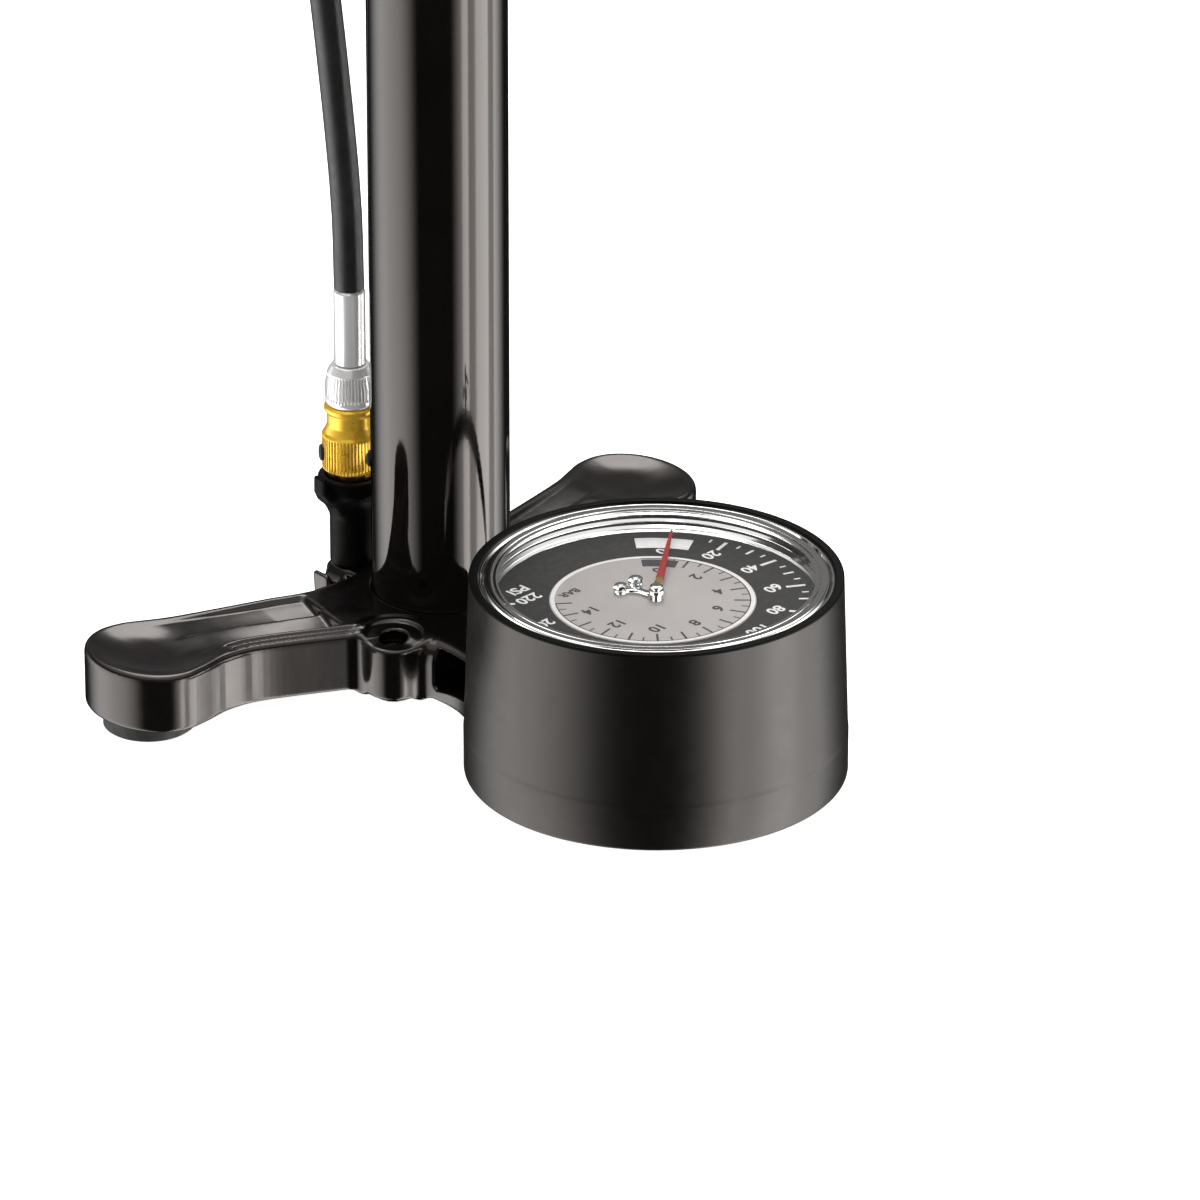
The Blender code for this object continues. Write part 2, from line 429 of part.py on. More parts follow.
turned("hose_nipple", ((0.0, 33.8), (4.4, 33.8), (4.4, 28.8), (6.2, 28.8), (6.2, 22.9), (3.2, 22.9), (3.2, 12.4), (0.0, 12.4)), 12, BRASS, at=(NIPPLE_X, NIPPLE_Y, 0.0), smooth=False)
turned("base_ferrule", ((0.0, 52.0), (4.6, 52.0), (5.4, 51.2), (5.4, 34.1), (0.0, 34.1)), 16, SILVER, at=(NIPPLE_X, NIPPLE_Y, 0.0))


def smooth_path(keys, step):
    """A smooth path through the keys, with a point about every step millimetres."""
    keys = [Vector(k) for k in keys]
    ends = [2 * keys[0] - keys[1]] + keys + [2 * keys[-1] - keys[-2]]
    found = []
    for a, b, c, d in zip(ends, ends[1:], ends[2:], ends[3:]):
        count = max(1, round((c - b).length / step))
        for i in range(count):
            t = i / count
            found.append(0.5 * (2 * b + (c - a) * t + (2 * a - 5 * b + 4 * c - d) * t * t + (3 * b - a - 3 * c + d) * t * t * t))
    return found + [keys[-1]]


rise = [(NIPPLE_X, NIPPLE_Y, HOSE_START_Z), (NIPPLE_X + 0.2, NIPPLE_Y + 0.3, 84.0), (24.0, 18.6, 150.0), (29.0, 25.0, 260.0), (34.6, 32.0, 380.0), (37.6, 35.6, 460.0), (ARCH_R, ARCH_Y, ARCH_Z)]
fall = [(-ARCH_R, ARCH_Y, ARCH_Z), (-37.2, 36.1, 450.0), (-31.0, 36.4, 360.0), (-20.0, 36.9, 270.0), (-8.6, 37.4, 190.0), (-1.2, CHUCK_Y, 130.0), (0.0, CHUCK_Y, HOSE_END_Z)]
path = smooth_path(rise, 24.0)
path += [Vector((x, ARCH_Y, ARCH_Z + z)) for x, z in arc(0.0, 0.0, ARCH_R, ARCH_R, 0.0, 180.0, 15)][1:-1]
path += smooth_path(fall, 24.0)
tube("hose", path, HOSE_R, 2, BLACK_RUBBER)

C = (0.0, CHUCK_Y, 0.0)
turned("chuck_ferrule", ((0.0, 98.0), (3.9, 98.0), (4.4, 97.2), (4.4, 76.0), (0.0, 76.0)), 16, SILVER, at=C)
turned("chuck_collar", ((0.0, 75.7), (5.2, 75.7), (6.4, 73.4), (7.2, 69.6), (7.2, 65.0), (6.8, 64.2), (0.0, 64.2)), 20, SILVER, at=C)
turned(
    "chuck_body",
    ((0.0, 63.8), (6.8, 63.8), (7.4, 63.2), (7.4, 62.2), (6.7, 61.2), (6.6, 57.6), (8.1, 54.9), (8.1, 44.6), (6.6, 42.6), (6.4, 38.5), (4.5, 38.5), (4.5, 53.6), (0.0, 53.6)),
    16,
    GOLD,
    chuck_axis,
    C,
)
ring("chuck_gasket", 1.6, 4.2, 50.6, 53.3, 16, BLACK_RUBBER, chuck_axis, C)
for tag, deg in (("a", 152.5), ("b", 272.5), ("c", 32.5)):
    a = math.radians(deg)
    turned("chuck_dot_" + tag, ((0.0, 9.1), (1.7, 9.1), (2.0, 8.8), (2.0, 8.4), (0.0, 8.4)), 10, BLACK_RUBBER, chuck_axis, (0.0, CHUCK_Y, 50.0), turn=(0.0, math.pi / 2, a))
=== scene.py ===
"""Looks of the floor bike pump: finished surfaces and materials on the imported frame, with a studio floor, lights and camera.

Shapes are worked out in millimetres in the pump's own frame (barrel on Z, gauge towards -Y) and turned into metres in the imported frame.
"""

import math

import bmesh
import bpy
import numpy as np
from mathutils import Matrix, Vector


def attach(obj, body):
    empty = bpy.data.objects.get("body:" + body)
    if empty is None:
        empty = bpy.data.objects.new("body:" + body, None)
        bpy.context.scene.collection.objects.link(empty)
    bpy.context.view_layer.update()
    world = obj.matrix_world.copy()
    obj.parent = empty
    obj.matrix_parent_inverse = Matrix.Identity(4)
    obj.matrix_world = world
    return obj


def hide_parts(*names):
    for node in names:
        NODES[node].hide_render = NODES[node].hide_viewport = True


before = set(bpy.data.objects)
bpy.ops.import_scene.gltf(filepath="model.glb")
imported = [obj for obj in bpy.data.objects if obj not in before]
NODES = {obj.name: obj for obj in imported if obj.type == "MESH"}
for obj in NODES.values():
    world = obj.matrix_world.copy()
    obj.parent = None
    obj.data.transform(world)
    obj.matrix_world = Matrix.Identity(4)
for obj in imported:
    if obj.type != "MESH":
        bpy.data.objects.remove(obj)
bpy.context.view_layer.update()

MM = 0.001
Y_SHIFT = 47.0
GAUGE_Y = -90.0
CHUCK_Y = 38.6
DIAL_Z = 49.2
BAR_Z = 594.0
scene = bpy.context.scene


def to_frame(points):
    """Pump millimetres to packed-frame metres."""
    p = np.asarray(points, float) + np.array([0.0, Y_SHIFT, 0.0])
    return p * MM


# ---------------------------------------------------------------- camera

AZ, EL, DIST = math.radians(-40.5), math.radians(25.35), 2400.0
BACK = np.array([math.sin(AZ) * math.cos(EL), -math.cos(AZ) * math.cos(EL), math.sin(EL)])
RIGHT = np.array([math.cos(AZ), math.sin(AZ), 0.0])
UP = np.cross(BACK, RIGHT)
TARGET = np.array([0.0, -60.0, 25.0])

cam_data = bpy.data.cameras.new("studio_camera")
cam_data.lens = 267.12
cam_data.sensor_width = 36.0
cam_data.shift_x = 0.0140
cam_data.shift_y = 0.0385
cam_data.clip_start = 0.1
cam_data.clip_end = 200.0
cam_data.dof.use_dof = False
camera = bpy.data.objects.new("studio_camera", cam_data)
scene.collection.objects.link(camera)
eye = to_frame(TARGET + BACK * DIST)
camera.matrix_world = Matrix(
    (
        (RIGHT[0], UP[0], BACK[0], eye[0]),
        (RIGHT[1], UP[1], BACK[1], eye[1]),
        (RIGHT[2], UP[2], BACK[2], eye[2]),
        (0.0, 0.0, 0.0, 1.0),
    )
)
scene.camera = camera


# ---------------------------------------------------------------- materials


class Mat:
    """A Principled material with helpers for procedural nodes; plain numbers are set straight on the shader."""

    def __init__(self, name, **plain):
        self.m = bpy.data.materials.new(name)
        self.m.use_nodes = True
        self.t = self.m.node_tree
        self.b = self.t.nodes["Principled BSDF"]
        for key, value in plain.items():
            socket = self.b.inputs[key.replace("_", " ")]
            socket.default_value = (*value, 1.0) if isinstance(value, tuple) and len(value) == 3 else value
        self.co = self.t.nodes.new("ShaderNodeTexCoord").outputs["Object"]

    def link(self, a, b):
        self.t.links.new(a, b)
        return a

    def mapped(self, scale, rotate=(0.0, 0.0, 0.0), shift=(0.0, 0.0, 0.0)):
        n = self.t.nodes.new("ShaderNodeMapping")
        n.inputs["Location"].default_value = shift
        n.inputs["Rotation"].default_value = rotate
        n.inputs["Scale"].default_value = scale
        self.link(self.co, n.inputs["Vector"])
        return n.outputs["Vector"]

    def noise(self, scale, detail=3.0, rough=0.55, at=None, warp=0.0):
        n = self.t.nodes.new("ShaderNodeTexNoise")
        n.inputs["Scale"].default_value = scale
        n.inputs["Detail"].default_value = detail
        n.inputs["Roughness"].default_value = rough
        n.inputs["Distortion"].default_value = warp
        self.link(at if at is not None else self.co, n.inputs["Vector"])
        return n.outputs[0]

    def wave(self, scale, axis="Z", at=None, warp=0.0, detail=0.0, kind="BANDS"):
        n = self.t.nodes.new("ShaderNodeTexWave")
        n.wave_type = kind
        if kind == "BANDS":
            n.bands_direction = axis
        else:
            n.rings_direction = axis
        n.inputs["Scale"].default_value = scale
        n.inputs["Distortion"].default_value = warp
        n.inputs["Detail"].default_value = detail
        self.link(at if at is not None else self.co, n.inputs["Vector"])
        return n.outputs["Fac"]

    def voronoi(self, scale, at=None):
        n = self.t.nodes.new("ShaderNodeTexVoronoi")
        n.inputs["Scale"].default_value = scale
        self.link(at if at is not None else self.co, n.inputs["Vector"])
        return n.outputs["Distance"]

    def math(self, kind, a, b):
        n = self.t.nodes.new("ShaderNodeMath")
        n.operation = kind
        for socket, value in ((n.inputs[0], a), (n.inputs[1], b)):
            if isinstance(value, (int, float)):
                socket.default_value = value
            else:
                self.link(value, socket)
        return n.outputs[0]

    def ranged(self, fac, low, high, start=0.3, end=0.7):
        n = self.t.nodes.new("ShaderNodeMapRange")
        n.inputs["From Min"].default_value = start
        n.inputs["From Max"].default_value = end
        n.inputs["To Min"].default_value = low
        n.inputs["To Max"].default_value = high
        self.link(fac, n.inputs["Value"])
        return n.outputs["Result"]

    def ramp(self, fac, *stops):
        n = self.t.nodes.new("ShaderNodeValToRGB")
        e = n.color_ramp.elements
        while len(e) < len(stops):
            e.new(0.5)
        for element, (at, colour) in zip(e, stops):
            element.position = at
            element.color = (*colour, 1.0)
        self.link(fac, n.inputs["Fac"])
        return n.outputs["Color"]

    def colour(self, fac, *stops):
        self.link(self.ramp(fac, *stops), self.b.inputs["Base Color"])
        return self

    def rough(self, fac, low, high, start=0.3, end=0.7):
        self.link(self.ranged(fac, low, high, start, end), self.b.inputs["Roughness"])
        return self

    def bump(self, height, strength, depth):
        n = self.t.nodes.new("ShaderNodeBump")
        n.inputs["Strength"].default_value = strength
        n.inputs["Distance"].default_value = depth
        self.link(height, n.inputs["Height"])
        self.link(n.outputs["Normal"], self.b.inputs["Normal"])
        return self


def black_gloss():
    k = Mat("gloss_black_paint", Specular_IOR_Level=0.62, Specular_Tint=(1.0, 0.93, 0.885))
    k.colour(k.noise(35.0), (0.3, (0.0020, 0.0017, 0.0016)), (0.75, (0.0034, 0.0029, 0.0027)))
    k.rough(k.noise(60.0, 4.0), 0.05, 0.085)
    return k.bump(k.noise(520.0, 2.0), 0.035, 0.0002).m


def black_cast():
    k = Mat("cast_black_paint", Specular_IOR_Level=0.62, Specular_Tint=(1.0, 0.93, 0.885))
    k.colour(k.noise(45.0), (0.3, (0.0020, 0.0017, 0.0016)), (0.75, (0.0038, 0.0032, 0.0030)))
    k.rough(k.noise(120.0, 4.0), 0.12, 0.2)
    return k.bump(k.noise(420.0, 3.0), 0.06, 0.0002).m


def black_satin(name="satin_black_anodised", low=0.33, high=0.38):
    k = Mat(name, Specular_Tint=(1.0, 0.93, 0.885))
    k.colour(k.noise(30.0), (0.3, (0.0012, 0.0010, 0.0009)), (0.75, (0.0022, 0.0019, 0.0017)))
    k.rough(k.noise(220.0, 4.0), low, high)
    return k.bump(k.noise(2600.0, 2.0), 0.08, 0.0001).m


def black_plastic(name="moulded_black_plastic", shine=0.28, low=0.32, high=0.42):
    k = Mat(name, Specular_IOR_Level=shine)
    k.colour(k.noise(60.0), (0.3, (0.0018, 0.0016, 0.0015)), (0.75, (0.0034, 0.0030, 0.0028)))
    k.rough(k.noise(300.0, 4.0), low, high)
    return k.bump(k.noise(1400.0, 2.0), 0.1, 0.0001).m


def rubber(name="black_rubber", low=0.55, high=0.75):
    k = Mat(name)
    k.colour(k.noise(70.0), (0.3, (0.011, 0.011, 0.011)), (0.75, (0.021, 0.02, 0.02)))
    k.rough(k.noise(250.0, 4.0), low, high)
    return k.bump(k.noise(1500.0, 3.0), 0.2, 0.0002).m


def hose_rubber():
    k = Mat("hose_rubber")
    k.colour(k.noise(120.0), (0.3, (0.009, 0.009, 0.0092)), (0.75, (0.018, 0.0175, 0.0175)))
    k.rough(k.noise(350.0, 3.0), 0.36, 0.5)
    return k.bump(k.noise(900.0, 3.0), 0.16, 0.0002).m


def metal(name, dark, light, low, high, turned=0.0, strength=0.05, amount=1.0):
    k = Mat(name, Metallic=amount)
    k.colour(k.noise(90.0), (0.25, dark), (0.8, light))
    k.rough(k.noise(260.0, 4.0), low, high)
    if turned:
        lines = k.math("ADD", k.wave(turned, "Z", warp=1.2, detail=2.0), k.math("MULTIPLY", k.noise(700.0), 0.5))
        k.bump(lines, strength, 0.00005)
    else:
        k.bump(k.noise(800.0, 3.0), strength, 0.00005)
    return k.m


def dial_dark():
    k = Mat("dial_dark_print", Metallic=0.0, Specular_IOR_Level=0.25)
    k.colour(k.noise(50.0), (0.3, (0.015, 0.014, 0.0135)), (0.75, (0.022, 0.0205, 0.020)))
    k.rough(k.noise(600.0, 3.0), 0.5, 0.6)
    return k.bump(k.noise(3000.0, 2.0), 0.08, 0.00005).m


def dial_light():
    k = Mat("dial_silver_print", Metallic=0.0)
    flecks = k.math("ADD", k.math("MULTIPLY", k.noise(4200.0, 2.0), 0.6), k.math("MULTIPLY", k.noise(60.0), 0.4))
    k.colour(flecks, (0.3, (0.38, 0.355, 0.345)), (0.7, (0.47, 0.445, 0.43)))
    k.rough(k.noise(900.0, 3.0), 0.42, 0.55)
    return k.bump(k.noise(4200.0, 2.0), 0.06, 0.00005).m


def ink(name, dark, light, low=0.45, high=0.58, shine=0.5):
    k = Mat(name, Specular_IOR_Level=shine)
    k.colour(k.noise(900.0), (0.3, dark), (0.7, light))
    k.rough(k.noise(1500.0), low, high)
    return k.m


def lens_clear():
    k = Mat("clear_lens", Alpha=0.03)
    k.colour(k.noise(14.0), (0.3, (0.30, 0.31, 0.31)), (0.7, (0.36, 0.37, 0.37)))
    k.rough(k.noise(40.0), 0.02, 0.045)
    return k.m


def wood():
    k = Mat("oiled_wood", Coat_Weight=0.25, Coat_Roughness=0.25)
    along = k.mapped((6.0, 60.0, 60.0))
    rings = k.wave(9.0, "X", at=k.mapped((8.0, 30.0, 30.0)), warp=7.0, detail=3.0, kind="RINGS")
    fibre = k.noise(22.0, 6.0, 0.65, at=along, warp=0.4)
    grain = k.math("ADD", k.math("MULTIPLY", rings, 0.45), k.math("MULTIPLY", fibre, 0.6))
    k.colour(grain, (0.2, (0.115, 0.046, 0.016)), (0.5, (0.27, 0.125, 0.045)), (0.85, (0.40, 0.21, 0.085)))
    k.rough(fibre, 0.34, 0.5)
    return k.bump(k.noise(160.0, 4.0, 0.6, at=along), 0.18, 0.0003).m


BLACK_GLOSS = black_gloss()
BLACK_CAST = black_cast()
BLACK_SATIN = black_satin()
CAP_SATIN = black_satin("satin_black_cap", 0.24, 0.31)
PLASTIC = black_plastic()
DEEP_BLACK = black_plastic("deep_black_plastic", 0.06, 0.4, 0.5)
RUBBER = rubber()
HOSE = hose_rubber()
CHROME = metal("polished_chrome", (0.80, 0.80, 0.81), (0.88, 0.88, 0.89), 0.04, 0.09, strength=0.02)
BEZEL = metal("bezel_bright", (0.90, 0.90, 0.895), (0.95, 0.95, 0.945), 0.06, 0.1, strength=0.02)
SILVER = metal("bright_aluminium", (0.92, 0.92, 0.92), (0.97, 0.97, 0.97), 0.16, 0.26, 900.0, strength=0.012, amount=0.5)
STEEL = metal("plain_steel", (0.44, 0.44, 0.45), (0.58, 0.58, 0.59), 0.26, 0.4)
ROD = metal("polished_rod_steel", (0.105, 0.104, 0.106), (0.15, 0.149, 0.15), 0.12, 0.2, strength=0.02)
ALUMINIUM = metal("satin_aluminium", (0.27, 0.27, 0.275), (0.35, 0.35, 0.355), 0.3, 0.4, 900.0, strength=0.012, amount=0.8)
BOLT = metal("black_oxide_steel", (0.03, 0.029, 0.029), (0.06, 0.058, 0.057), 0.26, 0.38)
GOLD = metal("gold_anodised", (0.96, 0.55, 0.036), (1.0, 0.645, 0.07), 0.24, 0.34, 900.0, strength=0.01, amount=0.5)
# Darker brown for the chuck's mouth lip: partly the lip's own tone, partly painted shade of the dock cup it sits in.
LIP_BROWN_AND_SHADE = metal("dark_bronze_and_painted_shade", (0.26, 0.12, 0.045), (0.36, 0.175, 0.07), 0.26, 0.38, 900.0)
BRASS = metal("turned_brass", (0.60, 0.42, 0.15), (0.75, 0.55, 0.24), 0.2, 0.32, 700.0)
DIAL_DARK = dial_dark()
DIAL_LIGHT = dial_light()
WHITE_INK = ink("white_ink", (0.76, 0.755, 0.74), (0.86, 0.855, 0.84))
BLACK_INK = ink("black_ink", (0.012, 0.012, 0.012), (0.02, 0.019, 0.019))
RED = ink("red_lacquer", (0.30, 0.014, 0.008), (0.37, 0.021, 0.011), 0.36, 0.46, 0.2)
LENS = lens_clear()
WOOD = wood()


# ---------------------------------------------------------------- shape helpers


def place(name, verts, faces, mat, body="pump_body", nodes=(), sharp=35.0, weld=True):
    """A finished piece from millimetre vertices, riding on a body and standing for the named nodes."""
    mesh = bpy.data.meshes.new(name)
    mesh.from_pydata([tuple(v) for v in to_frame(verts)], [], [tuple(int(i) for i in f) for f in faces])
    if weld:
        bm = bmesh.new()
        bm.from_mesh(mesh)
        bmesh.ops.remove_doubles(bm, verts=bm.verts, dist=1e-6)
        bmesh.ops.dissolve_degenerate(bm, edges=bm.edges, dist=1e-7)
        bmesh.ops.recalc_face_normals(bm, faces=bm.faces)
        bm.to_mesh(mesh)
        bm.free()
    mesh.shade_smooth()
    if sharp:
        mesh.set_sharp_from_angle(angle=math.radians(sharp))
    mesh.materials.append(mat)
    obj = bpy.data.objects.new(name, mesh)
    scene.collection.objects.link(obj)
    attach(obj, body)
    if nodes:
        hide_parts(*nodes)
    return obj


def fillet(points, radius, closed=True, seg=5):
    """Rounds the corners of a flat outline; a point may carry its own radius as a third number."""
    out = []
    n = len(points)
    for i, p in enumerate(points):
        r = p[2] if len(p) > 2 else radius
        b = np.array(p[:2], float)
        if r <= 0 or (not closed and i in (0, n - 1)):
            out.append(tuple(b))
            continue
        a = np.array(points[i - 1][:2], float) - b
        c = np.array(points[(i + 1) % n][:2], float) - b
        la, lc = np.linalg.norm(a), np.linalg.norm(c)
        a, c = a / la, c / lc
        half = math.acos(max(-1.0, min(1.0, float(a @ c)))) / 2.0
        if half > math.pi / 2 - 0.03 or half < 0.02:
            out.append(tuple(b))
            continue
        t = min(r / math.tan(half), 0.45 * la, 0.45 * lc)
        r = t * math.tan(half)
        mid = b + (a + c) / np.linalg.norm(a + c) * (r / math.sin(half))
        p0, p1 = b + a * t - mid, b + c * t - mid
        a0, a1 = math.atan2(p0[1], p0[0]), math.atan2(p1[1], p1[0])
        turn = (a1 - a0 + math.pi) % math.tau - math.pi
        for k in range(seg + 1):
            w = a0 + turn * k / seg
            out.append((mid[0] + r * math.cos(w), mid[1] + r * math.sin(w)))
    return out


def lathe(profile, seg, closed=True, mod=None, at=(0.0, 0.0, 0.0)):
    """Vertices and faces of a turned shape. mod(angle, radius, height) moves the surface in or out."""
    p = np.array(profile, float)
    ang = np.arange(seg) * math.tau / seg
    r = p[:, :1] * np.ones((1, seg))
    z = p[:, 1:] * np.ones((1, seg))
    if mod is not None:
        r = r + mod(ang[None, :], r, z)
    r = np.maximum(r, 0.0)
    v = np.stack([r * np.cos(ang) + at[0], r * np.sin(ang) + at[1], z + at[2]], -1).reshape(-1, 3)
    m = len(p)
    rows = m if closed else m - 1
    faces = []
    for i in range(rows):
        a, b = i * seg, ((i + 1) % m) * seg
        for j in range(seg):
            k = (j + 1) % seg
            faces.append((a + j, a + k, b + k, b + j))
    return v, faces


def turned(name, profile, mat, seg=96, radius=0.3, closed=True, mod=None, at=(0.0, 0.0, 0.0), body="pump_body", nodes=(), slot=None, sharp=35.0, steps=5, axis=None):
    v, f = lathe(fillet(profile, radius, closed, steps), seg, closed, mod)
    if axis == "x":
        v = np.stack([v[:, 2], v[:, 1], -v[:, 0]], 1)
    elif axis == "-x":
        v = np.stack([-v[:, 2], v[:, 1], v[:, 0]], 1)
    elif axis == "y":
        v = np.stack([v[:, 0], v[:, 2], -v[:, 1]], 1)
    return place(name, v + np.array(at, float), f, mat, body, nodes, sharp)


def dense(profile, z0, z1, step):
    """Splits the straight runs of a profile between two heights, so that a knurl has rows to bend."""
    out = []
    for a, b in zip(profile, profile[1:]):
        out.append(a)
        n = int(abs(b[1] - a[1]) / step)
        if n > 1 and min(a[1], b[1]) < z1 and max(a[1], b[1]) > z0:
            out += [(a[0] + (b[0] - a[0]) * k / n, a[1] + (b[1] - a[1]) * k / n) for k in range(1, n)]
    return out + [profile[-1]]


def smooth_step(a, b, x):
    t = np.clip((x - a) / (b - a), 0.0, 1.0)
    return t * t * (3.0 - 2.0 * t)


def knurl(count, depth, z0, z1, fade=0.7, r_min=0.0):
    """Straight knurling between two heights."""

    def mod(ang, r, z):
        band = smooth_step(z0 - fade, z0 + fade, z) * (1.0 - smooth_step(z1 - fade, z1 + fade, z))
        band = band * (r > r_min)
        tooth = np.abs(((ang * count / math.tau) % 1.0) * 2.0 - 1.0)
        tooth = smooth_step(0.18, 0.62, tooth)
        return -depth * band * (1.0 - tooth)

    return mod


def prism(outline, z0, z1):
    """Vertices and faces of an upright prism on a convex or simple outline."""
    n = len(outline)
    v = [(x, y, z0) for x, y in outline] + [(x, y, z1) for x, y in outline]
    f = [tuple(range(n - 1, -1, -1)), tuple(range(n, 2 * n))]
    f += [(i, (i + 1) % n, n + (i + 1) % n, n + i) for i in range(n)]
    return np.array(v, float), f


def joined(*shapes):
    verts, faces, base = [], [], 0
    for v, f in shapes:
        verts.append(np.asarray(v, float))
        faces += [tuple(i + base for i in face) for face in f]
        base += len(v)
    return np.concatenate(verts), faces


def smooth_path(keys, step):
    """A smooth path through the keys, with a point about every step millimetres."""
    keys = [Vector(k) for k in keys]
    ends = [2 * keys[0] - keys[1]] + keys + [2 * keys[-1] - keys[-2]]
    found = []
    for a, b, c, d in zip(ends, ends[1:], ends[2:], ends[3:]):
        count = max(1, round((c - b).length / step))
        for i in range(count):
            t = i / count
            found.append(0.5 * (2 * b + (c - a) * t + (2 * a - 5 * b + 4 * c - d) * t * t + (3 * b - a - 3 * c + d) * t * t * t))
    return found + [keys[-1]]


# distance-field shapes: smooth blends meshed with surface nets


def smin(a, b, k):
    h = np.maximum(k - np.abs(a - b), 0.0) / k
    return np.minimum(a, b) - h * h * k * 0.25


def smax(a, b, k):
    return -smin(-a, -b, k)


def polygon_distance(x, y, outline):
    """Signed distance to a closed outline, negative inside."""
    pts = np.array(outline, float)
    best = np.full(x.shape, 1e9)
    inside = np.zeros(x.shape, bool)
    for (ax, ay), (bx, by) in zip(pts, np.roll(pts, -1, 0)):
        ex, ey = bx - ax, by - ay
        wx, wy = x - ax, y - ay
        t = np.clip((wx * ex + wy * ey) / (ex * ex + ey * ey + 1e-12), 0.0, 1.0)
        best = np.minimum(best, (wx - ex * t) ** 2 + (wy - ey * t) ** 2)
        if ay != by:
            crossing = ((ay > y) != (by > y)) & (x < ex * (y - ay) / (by - ay) + ax)
            inside ^= crossing
    d = np.sqrt(best)
    return np.where(inside, -d, d)


def line_distance(x, y, line):
    pts = np.array(line, float)
    best = np.full(x.shape, 1e9)
    for (ax, ay), (bx, by) in zip(pts, pts[1:]):
        ex, ey = bx - ax, by - ay
        wx, wy = x - ax, y - ay
        t = np.clip((wx * ex + wy * ey) / (ex * ex + ey * ey + 1e-12), 0.0, 1.0)
        best = np.minimum(best, (wx - ex * t) ** 2 + (wy - ey * t) ** 2)
    return np.sqrt(best)


class Plane:
    """A field worked out once on a flat grid and read back between its points."""

    def __init__(self, x0, x1, y0, y1, step, f):
        self.x0, self.y0, self.step = x0, y0, step
        gx = np.arange(x0, x1 + step, step)
        gy = np.arange(y0, y1 + step, step)
        x, y = np.meshgrid(gx, gy, indexing="ij")
        self.g = f(x, y)

    def __call__(self, x, y):
        u = np.clip((x - self.x0) / self.step, 0.0, self.g.shape[0] - 1.001)
        v = np.clip((y - self.y0) / self.step, 0.0, self.g.shape[1] - 1.001)
        i, j = u.astype(int), v.astype(int)
        u, v = u - i, v - j
        g = self.g
        return (g[i, j] * (1 - u) + g[i + 1, j] * u) * (1 - v) + (g[i, j + 1] * (1 - u) + g[i + 1, j + 1] * u) * v


def rounded_box(p, lo, hi, r):
    lo, hi = np.array(lo, float), np.array(hi, float)
    q = np.abs(p - (lo + hi) / 2) - (hi - lo) / 2 + r
    return np.linalg.norm(np.maximum(q, 0.0), axis=1) + np.minimum(q.max(1), 0.0) - r


def net(f, lo, hi, h):
    """Surface nets of f = 0, with the vertices then moved onto the surface."""
    lo = np.array(lo, float)
    n = np.ceil((np.array(hi, float) - lo) / h).astype(int) + 1
    axes = [lo[i] + h * np.arange(n[i]) for i in range(3)]
    value = np.empty(tuple(n))
    for i, x in enumerate(axes[0]):
        y, z = np.meshgrid(axes[1], axes[2], indexing="ij")
        value[i] = f(np.stack([np.full(y.size, x), y.ravel(), z.ravel()], 1)).reshape(y.shape)
    inside = value < 0
    c = np.zeros(tuple(n - 1), int)
    for dx in (0, 1):
        for dy in (0, 1):
            for dz in (0, 1):
                c += inside[dx : n[0] - 1 + dx, dy : n[1] - 1 + dy, dz : n[2] - 1 + dz]
    mixed = (c > 0) & (c < 8)
    cells = np.argwhere(mixed)
    index = np.full(mixed.shape, -1)
    index[mixed] = np.arange(len(cells))
    total = np.zeros((len(cells), 3))
    count = np.zeros(len(cells))
    for axis in range(3):
        step = np.eye(3, dtype=int)[axis]
        others = [k for k in range(3) if k != axis]
        for p in (0, 1):
            for q in (0, 1):
                off = np.zeros(3, int)
                off[others[0]], off[others[1]] = p, q
                a = cells + off
                b = a + step
                va, vb = value[tuple(a.T)], value[tuple(b.T)]
                hit = (va < 0) != (vb < 0)
                t = np.where(hit, va / np.where(hit, va - vb, 1.0), 0.0)
                total += np.where(hit[:, None], off + t[:, None] * step, 0.0)
                count += hit
    verts = lo + (cells + total / count[:, None]) * h
    faces = []
    for axis in range(3):
        others = [(axis + 1) % 3, (axis + 2) % 3]
        take = [slice(None)] * 3
        take[axis] = slice(0, n[axis] - 1)
        a = inside[tuple(take)]
        take[axis] = slice(1, n[axis])
        b = inside[tuple(take)]
        at = np.argwhere(a != b)
        ok = np.all([(at[:, k] > 0) & (at[:, k] < n[k] - 1) for k in others], axis=0)
        at = at[ok]
        flip = a[tuple(at.T)]
        e1, e2 = np.eye(3, dtype=int)[others[0]], np.eye(3, dtype=int)[others[1]]
        quad = np.stack([index[tuple((at - e1 - e2).T)], index[tuple((at - e2).T)], index[tuple(at.T)], index[tuple((at - e1).T)]], 1)
        quad[~flip] = quad[~flip][:, ::-1]
        faces.append(quad)
    faces = np.concatenate(faces)
    eps = 0.02
    for _ in range(4):
        d = f(verts)
        g = np.stack([f(verts + e) - f(verts - e) for e in np.eye(3) * eps], 1) / (2 * eps)
        move = d[:, None] * g / np.maximum((g * g).sum(1), 0.05)[:, None]
        size = np.linalg.norm(move, axis=1, keepdims=True)
        verts = verts - move * np.minimum(1.0, 0.4 * h / np.maximum(size, 1e-9))
    return verts, faces


# ---------------------------------------------------------------- hose

